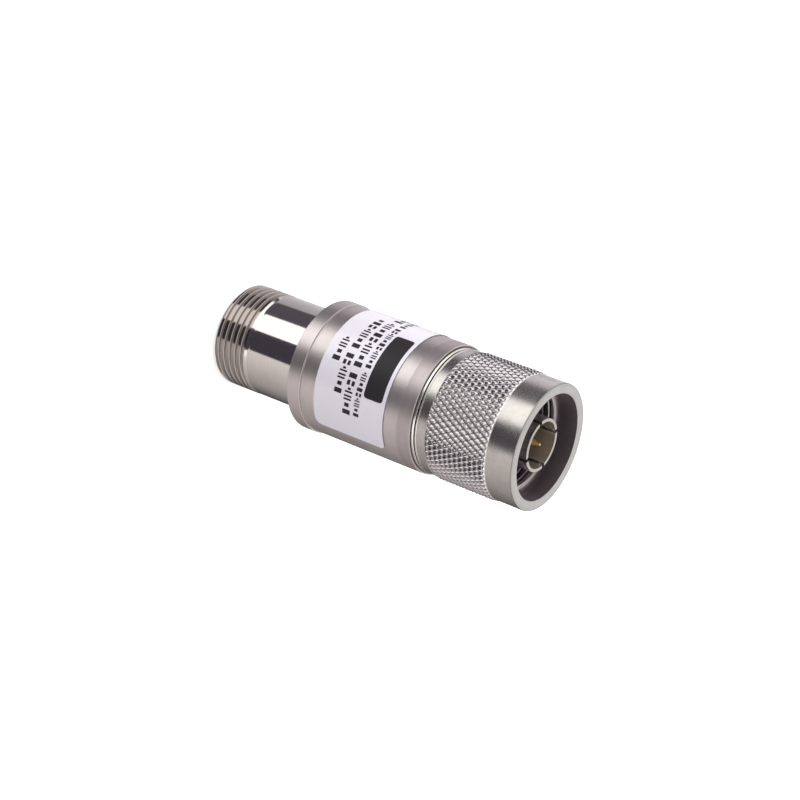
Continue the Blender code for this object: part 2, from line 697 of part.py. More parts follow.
def skin_knurl(bm, rings):
    """Split each cell of the knurl along the groove that joins its two low corners."""
    for row in range(len(rings) - 1):
        lower = rings[row]
        upper = rings[row + 1]
        count = len(lower)
        for index in range(count):
            after = (index + 1) % count
            a, b, c, d = lower[index], lower[after], upper[after], upper[index]
            if (index + row) % 2:
                bm.faces.new((a, b, c))
                bm.faces.new((a, c, d))
            else:
                bm.faces.new((a, b, d))
                bm.faces.new((b, c, d))


def fill_end(bm, outer, inner):
    """Close the flat ring between an outer and an inner circle of points."""
    edges = []
    for ring in (outer, inner):
        for index, vertex in enumerate(ring):
            edges.append(bm.edges.get((vertex, ring[(index + 1) % len(ring)])))
    bmesh.ops.triangle_fill(bm, use_beauty=True, edges=edges)


def make_coupling_nut():
    """The knurled nut, with its rear wall, ring groove, thread bore and plain mouth."""
    columns = 2 * KNURL_STARTS
    knurl_bottom = NUT_BOTTOM + NUT_REAR_RIM
    knurl_top = NUT_TOP - NUT_FRONT_BAND
    bm = bmesh.new()
    outside = [
        ring_of_points(bm, NUT_RADIUS - NUT_EDGE, NUT_BOTTOM, columns),
        ring_of_points(bm, NUT_RADIUS, NUT_BOTTOM + NUT_EDGE, columns),
        ring_of_points(bm, NUT_RADIUS, knurl_bottom, columns),
    ]
    knurl = knurl_rings(bm, knurl_bottom + KNURL_END_BEVEL, knurl_top - KNURL_END_BEVEL, columns)
    front = [
        ring_of_points(bm, NUT_RADIUS, knurl_top, columns),
        ring_of_points(bm, NUT_RADIUS, NUT_TOP - NUT_EDGE, columns),
        ring_of_points(bm, NUT_RADIUS - NUT_EDGE, NUT_TOP, columns),
    ]
    for lower, upper in zip(outside[:-1], outside[1:]):
        skin_rings(bm, lower, upper)
    skin_rings(bm, outside[-1], knurl[0])
    skin_knurl(bm, knurl)
    skin_rings(bm, knurl[-1], front[0])
    for lower, upper in zip(front[:-1], front[1:]):
        skin_rings(bm, lower, upper)

    wall_top = RING_BOTTOM - RING_SIDE_GAP
    groove_top = RING_TOP + RING_SIDE_GAP
    land_top = groove_top + NUT_LAND_LENGTH
    relief_top = land_top + NUT_RELIEF_LENGTH
    thread_top = NUT_TOP - NUT_MOUTH_DEPTH
    bore_radius = JOURNAL_RADIUS + RUNNING_GAP
    groove_radius = RING_RADIUS + RUNNING_GAP
    land_radius = JOURNAL_RADIUS + NUT_LAND_GAP
    mouth_step = NUT_MOUTH_RADIUS - NUT_THREAD_RADIUS
    bore = [
        (bore_radius, NUT_BOTTOM),
        (bore_radius, wall_top),
        (groove_radius, wall_top),
        (groove_radius, groove_top),
        (land_radius, groove_top),
        (land_radius, land_top),
        (NUT_RELIEF_RADIUS, land_top),
        (NUT_RELIEF_RADIUS, relief_top),
        (NUT_THREAD_RADIUS, relief_top),
        (NUT_THREAD_RADIUS, thread_top - mouth_step),
        (NUT_MOUTH_RADIUS, thread_top),
        (NUT_MOUTH_RADIUS, NUT_TOP),
    ]
    inside = [ring_of_points(bm, radius, height, SHELL_STEPS) for radius, height in bore]
    for lower, upper in zip(inside[:-1], inside[1:]):
        skin_rings(bm, upper, lower)
    fill_end(bm, outside[0], inside[0])
    fill_end(bm, front[-1], inside[-1])
    bmesh.ops.recalc_face_normals(bm, faces=bm.faces)
    mesh = bpy.data.meshes.new("coupling_nut")
    bm.to_mesh(mesh)
    bm.free()
    pivot = bpy.data.objects.new("nut_spin_axis", None)
    pivot.location = (0.0, 0.0, NUT_BOTTOM)
    PARTS.objects.link(pivot)
    mesh.transform(pivot.matrix_basis.inverted())
    add_piece("coupling_nut", mesh, NICKEL, parent=pivot)


def label_half_width(half, distance):
    """Half width of the label at a distance from its nearer end, with a round corner."""
    if distance >= LABEL_CORNER:
        return half
    inset = LABEL_CORNER - distance
    return half - LABEL_CORNER + math.sqrt(LABEL_CORNER ** 2 - inset ** 2)


def label_columns():
    """Distances along the label where it has a column of points, closer at the corners."""
    length = LABEL_WRAP_ANGLE * HOUSING_RADIUS
    corner = []
    for index in range(LABEL_CORNER_STEPS):
        corner.append(LABEL_CORNER * (1 - math.cos(index / LABEL_CORNER_STEPS * math.pi / 2)))
    straight = length - 2 * LABEL_CORNER
    middle = [LABEL_CORNER + straight * index / LABEL_STEPS for index in range(LABEL_STEPS + 1)]
    ending = [length - distance for distance in reversed(corner)]
    return corner + middle + ending, length


def make_label():
    """The thin label, wrapped part of the way round the housing."""
    radius = HOUSING_RADIUS + LABEL_GLUE_GAP
    bottom = HOUSING_BOTTOM + LABEL_JACK_MARGIN
    top = HOUSING_TOP - LABEL_PLUG_MARGIN
    centre = (bottom + top) / 2
    columns, length = label_columns()
    bm = bmesh.new()
    pairs = []
    for distance in columns:
        angle = LABEL_START_ANGLE - distance / HOUSING_RADIUS
        half = label_half_width((top - bottom) / 2, min(distance, length - distance))
        x = radius * math.cos(angle)
        y = radius * math.sin(angle)
        pairs.append([bm.verts.new((x, y, centre - half)), bm.verts.new((x, y, centre + half))])
    for first, second in zip(pairs[:-1], pairs[1:]):
        bm.faces.new((second[0], first[0], first[1], second[1]))
    mesh = bpy.data.meshes.new("label")
    bm.to_mesh(mesh)
    bm.free()
    sheet = bpy.data.objects.new("label_sheet", mesh)
    PARTS.objects.link(sheet)
    thicken = sheet.modifiers.new("Thickness", "SOLIDIFY")
    thicken.thickness = LABEL_THICKNESS
    thicken.offset = 1.0
    solid = evaluated_mesh(sheet)
    bpy.data.objects.remove(sheet, do_unlink=True)
    add_piece("label", solid, LABEL_WHITE)


def main():
    """Build every piece from the jack to the plug."""
    make_housing()
    make_jack_shell()
    make_plug_shell()
    make_seals()
    make_insulator("jack_insulator", JACK_INSULATOR_BOTTOM)
    make_insulator("plug_insulator", PLUG_INSULATOR_BOTTOM)
    make_line_sleeves()
    make_wave_spring()
    make_pad()
    make_jack_center_contact()
    make_plug_center_pin()
    make_plug_outer_contact()
    make_plug_gasket()
    make_retaining_ring()
    make_coupling_nut()
    make_label()


clear_scene()
PARTS = new_collection("rf_attenuator")
CUTTERS = new_collection("cutters")
main()
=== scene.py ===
"""Looks of the coaxial attenuator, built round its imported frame.

Lengths are in metres. The axis of the body is Z, the jack's end face lies at Z = 0 and the plug
points up. Angles go round Z from +X, in degrees, and -90 faces the camera. A turned piece is an
outline of (radius, height, corner size) points, listed up its outer side and down its bore.
"""

import json
import math

import bpy
import numpy as np
from mathutils import Matrix, Quaternion, Vector


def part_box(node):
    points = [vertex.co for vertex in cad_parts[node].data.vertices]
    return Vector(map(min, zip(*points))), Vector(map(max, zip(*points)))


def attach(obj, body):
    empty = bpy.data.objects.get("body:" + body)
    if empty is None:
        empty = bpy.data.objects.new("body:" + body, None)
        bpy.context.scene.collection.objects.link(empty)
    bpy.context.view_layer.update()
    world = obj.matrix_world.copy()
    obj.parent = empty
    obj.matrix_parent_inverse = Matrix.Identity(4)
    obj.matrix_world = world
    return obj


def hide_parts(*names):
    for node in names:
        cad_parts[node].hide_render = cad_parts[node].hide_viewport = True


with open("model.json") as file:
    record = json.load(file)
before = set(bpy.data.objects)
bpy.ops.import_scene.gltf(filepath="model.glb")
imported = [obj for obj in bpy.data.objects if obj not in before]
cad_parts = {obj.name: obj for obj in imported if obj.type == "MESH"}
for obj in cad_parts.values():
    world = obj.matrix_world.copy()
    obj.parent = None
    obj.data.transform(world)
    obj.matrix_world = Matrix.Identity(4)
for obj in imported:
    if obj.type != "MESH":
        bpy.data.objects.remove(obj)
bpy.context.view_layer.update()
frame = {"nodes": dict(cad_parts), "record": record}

MM = 0.001

# Camera
CAMERA_PLACE = Vector((0.0, -0.23694, 0.16866))
CAMERA_AIM = Vector((0.00115, 0.0, 0.03014))
CAMERA_ROLL = 110.9
CAMERA_LENS = 83.93
CAMERA_SENSOR = 36.0

# Usual size of a rounded corner, and the points along one, its first and last included
EDGE = 0.05 * MM
CORNER_POINTS = 4

# Points round a turn, and starts of the knurl
KNURL_STARTS = 66
POINTS_PER_START = 8
SHELL_POINTS = 192
BORE_POINTS = 160
RING_POINTS = 96
SMALL_POINTS = 64

# Heights that are read from the frame
JACK_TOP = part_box("jack_shell")[1].z
HOUSING_BOTTOM, HOUSING_TOP = (corner.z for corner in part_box("housing"))
PLUG_BOTTOM, PLUG_TOP = (corner.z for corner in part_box("plug_shell"))
NUT_BOTTOM, NUT_TOP = (corner.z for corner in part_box("coupling_nut"))
CONTACT_BOTTOM, CONTACT_TOP = (corner.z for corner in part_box("plug_outer_contact"))
PIN_BOTTOM, PIN_TOP = (corner.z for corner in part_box("plug_center_pin"))
SOCKET_BOTTOM, SOCKET_TOP = (corner.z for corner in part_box("jack_center_contact"))
GASKET_BOTTOM, GASKET_TOP = (corner.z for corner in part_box("plug_gasket"))
LABEL_BOTTOM, LABEL_TOP = (corner.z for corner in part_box("label"))

# Gap between pieces that fit in one another, and the flat that ends a solid piece on the axis
FIT_GAP = 0.05 * MM
END_FLAT = 0.05 * MM

# Radii of the shells
HOUSING_RADIUS = 9.92 * MM
HOUSING_BORE = 8.42 * MM
RIM_RADIUS = 10.13 * MM
SHOULDER_RADIUS = 9.52 * MM
NECK_RADIUS = 7.9 * MM
RELIEF_RADIUS = 7.73 * MM
LINE_RADIUS = 3.5 * MM
LINE_BORE = 4.65 * MM
JOURNAL_RADIUS = 6.9 * MM
CONTACT_RADIUS = 4.05 * MM
PIN_RADIUS = 0.83 * MM
PIN_TIP_RADIUS = 0.2 * MM
PIN_TAPER_LENGTH = 2.0 * MM
CONDUCTOR_RADIUS = 1.52 * MM
CONDUCTOR_ROOT_RADIUS = 1.9 * MM
GASKET_OUTER = 7.0 * MM
GASKET_INNER = 5.5 * MM

# Heights along the shells
RIM_BOTTOM = 16.4 * MM
FLANGE_TOP = HOUSING_TOP + 2.3 * MM
SHOULDER_TOP = HOUSING_TOP + 2.65 * MM
JACK_BORE_DEPTH = 9.1 * MM
JACK_LIP_TOP = 10.6 * MM

# Seams at both ends of the housing: how far its finish reaches into each, and how wide it is
SEAM = 0.045 * MM
SEAM_WIDTH = 0.05 * MM

# Thread, 24 turns to the inch, right handed
PITCH = 25.4 / 24 * MM
THREAD_CREST = 7.94 * MM
THREAD_DEPTH = 0.3 * MM
THREAD_TOP = 6.2 * MM
THREAD_LEAD_RADIUS = 7.3 * MM
THREAD_LEAD_HEIGHT = 0.65 * MM
THREAD_RUN_OUT = 0.7 * PITCH
ROWS_PER_TURN = 22

# Where a groove of the thread starts and where it is deepest, in turns from the middle of a crest
GROOVE_START = 0.25
GROOVE_ROOT = 0.46

# Relief groove behind the jack's thread, and the bottom of the barrel behind it
RELIEF_BOTTOM = THREAD_TOP + 0.42 * MM
RELIEF_TOP = THREAD_TOP + 0.7 * MM
BARREL_BOTTOM = THREAD_TOP + 0.8 * MM

# Coupling nut
NUT_RADIUS = 9.51 * MM
KNURL_CREST = 9.76 * MM
KNURL_ROOT = 9.36 * MM
KNURL_BOTTOM = NUT_BOTTOM + 1.8 * MM
KNURL_TOP = NUT_TOP - 4.4 * MM
KNURL_TURNS = 6
KNURL_FLAT = 0.94
ROWS_PER_DIAMOND = 8
NUT_BORE = 7.1 * MM
NUT_THREAD_CREST = 7.48 * MM
NUT_THREAD_DEPTH = 0.5 * MM
NUT_THREAD_TURN = 0.68
NUT_MOUTH_RADIUS = 7.98 * MM
NUT_MOUTH_DEPTH = 3.75 * MM
NUT_THREAD_BOTTOM = NUT_BOTTOM + 5.57 * MM

# Label
LABEL_INNER = 9.94 * MM
LABEL_OUTER = 10.04 * MM
LABEL_START = -31.5
LABEL_WRAP = 200.0
LABEL_CORNER = 1.0 * MM
INK_THICKNESS = 0.012 * MM
PATCH_STEP = 0.35 * MM
PATCH_CORNER_STEPS = 5

# Floor and light
FLOOR_SIZE = 4.0
FLOOR_DROP = 0.02 * MM
FLOOR_GLOW = 0.6
DIFFUSE_LIGHT = 0.71
MIRRORED_LIGHT = 1.5
KEY_PLACE = (-0.5, -0.12, 0.35)
KEY_AIM = (0.0, 0.0, 0.03)
KEY_SIZE = 0.45
KEY_POWER = 2.2

# Cards: the cylinder that they are drawn for, and where they start, end and lie
CARD_RADIUS = 8.8 * MM
CARD_INSET = 0.8 * MM
CARD_REACH = 0.22
CARD_LIFT = 0.0001

SATIN = (0.64, 0.583, 0.57)

# Kinds of small mark in the label's rows, each of bars of (place, width, low, high), and the
# steps from mark to mark and from group to group, all in shares of the size of a mark
MARKS = (
    ((0.0, 0.55, 0.0, 1.0),),
    ((0.0, 0.2, 0.0, 1.0), (0.36, 0.2, 0.0, 1.0)),
    ((0.0, 0.55, 0.0, 0.4), (0.0, 0.55, 0.62, 1.0)),
    ((0.05, 0.45, 0.2, 0.8),),
    ((0.0, 0.2, 0.0, 1.0), (0.32, 0.25, 0.3, 0.7)),
)
MARK_STEP = 0.82
GROUP_GAP = 0.5


class Surface:
    """Points, normals and faces of a mesh that is put together from strips and patches."""

    def __init__(self):
        self.points = []
        self.normals = []
        self.faces = []

    def add_points(self, points, normals):
        """Keep the points and their normals, and return the number of the first."""
        first = len(self.points)
        self.points.extend(map(tuple, points.reshape(-1, 3)))
        self.normals.extend(map(tuple, normals.reshape(-1, 3)))
        return first

    def strip(self, outline, columns, change=None, closed=False):
        """Turn an outline about Z and return its first and last rings of point numbers."""
        angle = np.arange(columns) * 2 * math.pi / columns
        radius = np.array([point[0] for point in outline])[:, None] + 0 * angle
        height = np.array([point[1] for point in outline])[:, None] + 0 * angle
        if change:
            radius = change(angle, radius, height)
        grid = np.stack([radius * np.cos(angle), radius * np.sin(angle), height], axis=2)
        rows = len(outline)
        around = np.roll(grid, -1, axis=1) - np.roll(grid, 1, axis=1)
        if closed:
            along = np.roll(grid, -1, axis=0) - np.roll(grid, 1, axis=0)
        else:
            padded = np.concatenate([grid[:1], grid, grid[-1:]])
            along = padded[2:] - padded[:-2]
        normal = np.cross(around, along)
        normal /= np.linalg.norm(normal, axis=2, keepdims=True) + 1e-30
        first = self.add_points(grid, normal)
        for row in range(rows if closed else rows - 1):
            low = first + row * columns
            high = first + (row + 1) % rows * columns
            for column in range(columns):
                after = (column + 1) % columns
                self.faces.append((low + column, low + after, high + after, high + column))
        last = first + (rows - 1) * columns
        return list(range(first, first + columns)), list(range(last, last + columns))

    def bridge(self, lower, upper):
        """Join two rings of unlike counts, the first nearer to the start of the outline."""
        i, j = 0, 0
        while i < len(lower) or j < len(upper):
            a, b = lower[i % len(lower)], upper[j % len(upper)]
            if j == len(upper) or (i < len(lower) and (i + 1) / len(lower) <= (j + 1) / len(upper)):
                i += 1
                self.faces.append((a, lower[i % len(lower)], b))
            else:
                j += 1
                self.faces.append((a, upper[j % len(upper)], b))

    def mesh(self, name):
        """Make the mesh, shaded by the exact normals."""
        mesh = bpy.data.meshes.new(name)
        mesh.from_pydata(self.points, [], self.faces)
        mesh.shade_smooth()
        mesh.normals_split_custom_set_from_vertices(self.normals)
        return mesh


def rounded(corners):
    """Round each corner of a closed outline, starting its curve at the corner's size away."""
    steps = CORNER_POINTS - 1
    points = []
    for index, (radius, height, size) in enumerate(corners):
        corner = np.array((radius, height))
        before = np.array(corners[index - 1][:2]) - corner
        after = np.array(corners[(index + 1) % len(corners)][:2]) - corner
        start = corner + before / np.linalg.norm(before) * size
        end = corner + after / np.linalg.norm(after) * size
        for step in range(steps + 1):
            t = step / steps
            points.append(tuple(start * (1 - t) ** 2 + corner * 2 * t * (1 - t) + end * t ** 2))
    return points


def finish_piece(name, mesh, material, body, slot, *nodes):
    """Put a mesh in the scene as a piece that rides on a body and stands for CAD nodes."""
    mesh.name = name
    mesh.materials.clear()
    mesh.materials.append(material)
    piece = bpy.data.objects.new(name, mesh)
    bpy.context.scene.collection.objects.link(piece)
    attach(piece, body)
    if nodes:
        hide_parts(*nodes)
    return piece


def turned_mesh(name, corners, columns):
    """Make a mesh from a closed outline of corners."""
    surface = Surface()
    surface.strip(rounded(corners), columns, closed=True)
    return surface.mesh(name)


def solid_of_revolution(name, outline, columns):
    """Make a mesh from an open outline that ends in a small flat at each end."""
    surface = Surface()
    first, last = surface.strip(outline, columns)
    surface.faces.append(tuple(reversed(first)))
    surface.faces.append(tuple(last))
    return surface.mesh(name)


def slot_cutter(length, width, bottom, top, turn):
    """Make the box whose space becomes a slot through a tube."""
    bpy.ops.mesh.primitive_cube_add(size=1.0)
    box = bpy.context.active_object
    place = Matrix.Translation((0.0, 0.0, (bottom + top) / 2))
    turned = Matrix.Rotation(math.radians(turn), 4, "Z")
    box.data.transform(place @ turned @ Matrix.Diagonal((length, width, top - bottom, 1.0)))
    return box


def cut_mesh(mesh, cutters):
    """Return the mesh with the cutters' space taken out and its sharp edges marked."""
    blank = bpy.data.objects.new("blank", mesh)
    bpy.context.scene.collection.objects.link(blank)
    for cutter in cutters:
        cut = blank.modifiers.new("Cut", "BOOLEAN")
        cut.object = cutter
        cut.solver = "EXACT"
    depsgraph = bpy.context.evaluated_depsgraph_get()
    result = bpy.data.meshes.new_from_object(blank.evaluated_get(depsgraph))
    for item in [blank, *cutters]:
        bpy.data.objects.remove(item, do_unlink=True)
    result.shade_smooth()
    result.set_sharp_from_angle(angle=math.radians(25))
    return result


# Materials

def new_material(name, colour, roughness, metallic=0.0):
    """Make a material and return it with its node tree and its shader."""
    material = bpy.data.materials.new(name)
    material.use_nodes = True
    tree = material.node_tree
    shader = tree.nodes["Principled BSDF"]
    shader.inputs["Base Color"].default_value = (*colour, 1.0)
    shader.inputs["Roughness"].default_value = roughness
    shader.inputs["Metallic"].default_value = metallic
    return material, tree, shader


def add_node(tree, kind, inputs=None, **settings):
    """Add a node, set its properties, and set or link its inputs."""
    node = tree.nodes.new(kind)
    for key, value in settings.items():
        setattr(node, key, value)
    for key, value in (inputs or {}).items():
        if isinstance(value, bpy.types.NodeSocket):
            tree.links.new(value, node.inputs[key])
        else:
            node.inputs[key].default_value = value
    return node


def maths(tree, operation, first, second):
    """Add a Math node of two values and return its output."""
    return add_node(tree, "ShaderNodeMath", {0: first, 1: second}, operation=operation).outputs[0]


def spread(tree, value, low, high, new_low, new_high):
    """Map a value from one range to another, held to its ends."""
    inputs = {"Value": value, "From Min": low, "From Max": high,
              "To Min": new_low, "To Max": new_high}
    return add_node(tree, "ShaderNodeMapRange", inputs).outputs["Result"]


def millimetres(tree):
    """Place on the part in millimetres, as a vector output."""
    place = add_node(tree, "ShaderNodeTexCoord").outputs["Object"]
    return add_node(tree, "ShaderNodeVectorMath", {0: place, 3: 1000.0},
                    operation="SCALE").outputs["Vector"]


def noise(tree, place, scale, detail, roughness):
    """Noise from 0 to 1 with a feature size of one over the scale."""
    inputs = {"Vector": place, "Scale": scale, "Detail": detail, "Roughness": roughness}
    return add_node(tree, "ShaderNodeTexNoise", inputs).outputs["Fac"]


def radius_and_height(tree, place):
    """Distance from the axis and height, as two outputs."""
    split = add_node(tree, "ShaderNodeSeparateXYZ", {0: place})
    flat = add_node(tree, "ShaderNodeCombineXYZ", {0: split.outputs[0], 1: split.outputs[1]})
    radius = add_node(tree, "ShaderNodeVectorMath", {0: flat.outputs[0]}, operation="LENGTH")
    return radius.outputs["Value"], split.outputs[2]


def mix_colours(tree, factor, first, second):
    """Mix two colours, given as sockets or as red, green and blue."""
    node = add_node(tree, "ShaderNodeMix", {0: factor}, data_type="RGBA")
    for number, colour in ((6, first), (7, second)):
        if isinstance(colour, bpy.types.NodeSocket):
            tree.links.new(colour, node.inputs[number])
        else:
            node.inputs[number].default_value = (*colour, 1.0)
    return node.outputs[2]


def between(tree, value, low, high, blur):
    """1 between two limits and 0 outside them, with soft ends."""
    rise = spread(tree, value, low - blur, low + blur, 0.0, 1.0)
    fall = spread(tree, value, high - blur, high + blur, 1.0, 0.0)
    return maths(tree, "MULTIPLY", rise, fall)


def turned_metal(name, colour, roughness, marks, smudge, zones=()):
    """Plated metal with turning marks and faint smudges.

    A zone is (radii, heights, blur, colour, roughness, marks), in millimetres, and changes the
    finish, or paints shade or highlights, between its two radii and its two heights.
    """
    material, tree, shader = new_material(name, colour, roughness, metallic=1.0)
    place = millimetres(tree)
    radius, height = radius_and_height(tree, place)
    across = add_node(tree, "ShaderNodeCombineXYZ", {0: height, 1: radius}).outputs[0]
    lines = noise(tree, across, scale=6.0, detail=8.0, roughness=0.8)
    patches = noise(tree, place, scale=0.4, detail=5.0, roughness=0.65)
    tone, rough, depth = colour, roughness, marks
    for radii, heights, blur, zone_colour, zone_roughness, zone_marks in zones:
        mask = maths(tree, "MULTIPLY", between(tree, radius, *radii, blur),
                     between(tree, height, *heights, blur))
        tone = mix_colours(tree, mask, tone, zone_colour)
        rough = spread(tree, mask, 0.0, 1.0, rough, zone_roughness)
        depth = spread(tree, mask, 0.0, 1.0, depth, zone_marks)
    bump = add_node(tree, "ShaderNodeBump", {"Strength": 1.0, "Distance": 0.01 * MM,
                                             "Height": maths(tree, "MULTIPLY", lines, depth)})
    tree.links.new(bump.outputs[0], shader.inputs["Normal"])
    streaks = spread(tree, lines, 0.35, 0.65, 0.95, 1.03)
    dull = maths(tree, "MULTIPLY", streaks, spread(tree, patches, 0.35, 0.75, 1.0, 1.0 - smudge))
    shaded = add_node(tree, "ShaderNodeVectorMath", {0: tone, 3: dull}, operation="SCALE")
    tree.links.new(shaded.outputs[0], shader.inputs["Base Color"])
    spots = spread(tree, patches, 0.35, 0.75, 0.0, 0.5 * smudge)
    tree.links.new(maths(tree, "ADD", rough, spots), shader.inputs["Roughness"])
    return material


def plain_material(name, colour, shade, roughness, scale, bump_height, specular=0.5):
    """Material with a faint mottle and a fine bump, for rubber, plastic, film and ink."""
    material, tree, shader = new_material(name, colour, roughness)
    shader.inputs["Specular IOR Level"].default_value = specular
    place = millimetres(tree)
    mottle = noise(tree, place, scale, detail=3.0, roughness=0.6)
    tree.links.new(mix_colours(tree, mottle, colour, shade), shader.inputs["Base Color"])
    bump = add_node(tree, "ShaderNodeBump",
                    {"Strength": 1.0, "Distance": bump_height, "Height": mottle})
    tree.links.new(bump.outputs[0], shader.inputs["Normal"])
    return material


def make_jack_finish():
    """Polished barrel, satin rim and duller thread, with painted shade in the thread's roots, lead
    and rim top.
    """
    rim = ((8.6, 11.0), (16.0, 19.0), 0.03, SATIN, 0.37, 0.55)
    # painted shade: the rim's top face at the seam is darkened to dim its bright line
    rim_face_shade = ((9.0, 10.09), (18.64, 19.0), 0.02, (0.45, 0.415, 0.41), 0.45, 0.3)
    thread = ((7.2, 8.2), (-0.2, 6.16), 0.03, (0.375, 0.328, 0.298), 0.13, 0.15)
    # painted shade: the thread's roots are darker and rougher than its crests
    groove_shade = ((7.0, 7.89), (0.5, 6.16), 0.03, (0.325, 0.282, 0.262), 0.35, 0.1)
    # painted shade: the lead cone at the jack's end is painted near black
    lead_shade = ((7.0, 8.1), (-0.3, 0.74), 0.03, (0.12, 0.10, 0.10), 0.35, 0.1)
    bore = ((2.0, 4.2), (0.3, 23.0), 0.05, (0.45, 0.42, 0.39), 0.25, 0.1)
    return turned_metal("bright_nickel", (0.68, 0.64, 0.60), 0.09, 0.05, 0.06,
                        (rim, rim_face_shade, thread, groove_shade, lead_shade, bore))


def make_satin_finish():
    """Satin tube, a duller flange with painted shade at its corner, and a ring with a painted
    highlight.
    """
    flange = ((8.6, 11.0), (36.2, 38.6), 0.03, (0.54, 0.482, 0.478), 0.42, 0.6)
    # painted shade: a dark line on the flange's top face, in the corner under the ring
    corner = ((8.0, 9.76), (38.44, 38.53), 0.02, (0.16, 0.14, 0.14), 0.5, 0.1)
    # partly painted highlight: a polished ring whose colour is also lightened to show a bright line
    ring = ((9.2, 9.6), (38.59, 38.95), 0.02, (0.80, 0.76, 0.70), 0.2, 0.1)
    return turned_metal("satin_nickel", SATIN, 0.37, 0.6, 0.08, (flange, corner, ring))


def make_nut_finish():
    """Bright bands, a knurl and bore with painted shade, painted highlights at the band edge and
    mouth.
    """
    knurl = ((9.2, 10.0), (40.9, 50.98), 0.04, (0.58, 0.54, 0.545), 0.14, 0.1)
    # painted shade: the knurl's channels are painted near black
    groove_shade = ((9.2, 9.45), (40.9, 50.94), 0.04, (0.08, 0.07, 0.075), 0.45, 0.1)
    # painted highlight: a near-white line where the knurl meets the front band
    band_edge_highlight = ((9.3, 9.9), (50.84, 51.13), 0.02, (0.95, 0.92, 0.89), 0.42, 0.1)
    # painted shade: the nut's bore and inner thread are painted dark
    bore = ((6.0, 8.04), (39.25, 55.3), 0.04, (0.30, 0.245, 0.27), 0.4, 0.1)
    # painted highlight: the step at the foot of the mouth is painted near white
    step = ((7.54, 7.96), (51.46, 51.75), 0.03, (0.98, 0.96, 0.93), 0.4, 0.1)
    # painted highlight: the thread's first turn below the step is painted light
    thread_end_highlight = ((7.3, 7.58), (50.7, 51.5), 0.04, (0.85, 0.80, 0.80), 0.4, 0.1)
    face = ((8.0, 9.45), (55.3, 56.0), 0.04, (0.345, 0.33, 0.32), 0.3, 0.7)
    face_line = ((9.14, 9.22), (55.3, 56.0), 0.03, (0.27, 0.26, 0.25), 0.3, 0.7)
    face_edge = ((9.4, 9.6), (55.24, 56.0), 0.02, (0.24, 0.23, 0.225), 0.3, 0.3)
    return turned_metal("nut_nickel", (0.60, 0.565, 0.53), 0.24, 0.12, 0.14,
                        (knurl, groove_shade, band_edge_highlight, bore, step, thread_end_highlight, face, face_line,
                         face_edge))


def make_contact_finish():
    """Smooth grey rim, with a dull warm bore and a dull outside."""
    bore = ((3.0, 3.54), (40.0, 54.25), 0.04, (0.50, 0.44, 0.38), 0.45, 0.2)
    outside = ((3.9, 4.7), (40.0, 54.2), 0.04, (0.40, 0.37, 0.36), 0.3, 0.2)
    return turned_metal("contact_nickel", (0.33, 0.31, 0.285), 0.2, 0.1, 0.05, (bore, outside))


def make_materials():
    """Make every material, by the names of the record's slots, and the ink."""
    made = {}
    made["bright_nickel"] = make_jack_finish()
    made["satin_nickel"] = make_satin_finish()
    made["nut_nickel"] = make_nut_finish()
    made["contact_nickel"] = make_contact_finish()
    made["contact_gold"] = turned_metal("contact_gold", (0.52, 0.37, 0.155), 0.13, 0.1, 0.08)
    made["sleeve_brass"] = turned_metal("sleeve_brass", (0.72, 0.55, 0.27), 0.3, 0.4, 0.1)
    made["spring_bronze"] = turned_metal("spring_bronze", (0.62, 0.42, 0.26), 0.35, 0.3, 0.1)
    made["cap_silver"] = turned_metal("cap_silver", (0.80, 0.79, 0.76), 0.25, 0.2, 0.08)
    made["insulator"] = plain_material("insulator", (0.86, 0.86, 0.84), (0.82, 0.82, 0.79),
                                       roughness=0.45, scale=2.0, bump_height=0.004 * MM)
    made["resistor"] = plain_material("resistor", (0.06, 0.05, 0.05), (0.09, 0.07, 0.06),
                                      roughness=0.55, scale=5.0, bump_height=0.004 * MM)
    made["seal_rubber"] = plain_material("seal_rubber", (0.03, 0.03, 0.03), (0.045, 0.045, 0.045),
                                         roughness=0.6, scale=4.0, bump_height=0.006 * MM)
    made["label_film"] = plain_material("label_film", (0.80, 0.76, 0.84), (0.82, 0.78, 0.855),
                                        roughness=0.25, scale=1.3, bump_height=0.002 * MM,
                                        specular=1.0)
    made["ink"] = plain_material("ink", (0.018, 0.016, 0.018), (0.03, 0.028, 0.03),
                                 roughness=0.45, scale=6.0, bump_height=0.002 * MM,
                                 specular=0.2)
    return made


# Threads and the knurl

def fade(value, start, end):
    """Smooth rise from 0 at the start to 1 at the end."""
    share = np.clip((value - start) / (end - start), 0.0, 1.0)
    return share * share * (3 - 2 * share)


def thread_wave(turns):
    """Depth of a thread with wide crests, from 0 on a crest to 1 in a root, by turns."""
    away = np.abs(turns - np.round(turns))
    return fade(away, GROOVE_START, GROOVE_ROOT)


def outside_thread(angle, radius, height):
    """Radius of the jack's barrel with its thread cut into it."""
    turns = height / PITCH - angle / (2 * math.pi)
    run_out = 1 - fade(height, THREAD_TOP - THREAD_RUN_OUT, THREAD_TOP)
    cut = THREAD_CREST - THREAD_DEPTH * thread_wave(turns) * run_out
    inside_zone = (height > 0) & (height < THREAD_TOP) & (radius > THREAD_LEAD_RADIUS - 0.01 * MM)
    return np.where(inside_zone, np.minimum(radius, cut), radius)


def inside_thread(angle, radius, height):
    """Radius of the nut's bore with its thread cut into it."""
    turns = height / PITCH - angle / (2 * math.pi) + NUT_THREAD_TURN
    run_out = fade(height, NUT_THREAD_BOTTOM, NUT_THREAD_BOTTOM + THREAD_RUN_OUT)
    cut = NUT_THREAD_CREST + NUT_THREAD_DEPTH * thread_wave(turns) * run_out
    inside_zone = (height > NUT_THREAD_BOTTOM) & (height < NUT_TOP - NUT_MOUTH_DEPTH - 0.05 * MM)
    return np.where(inside_zone, np.maximum(radius, cut), radius)


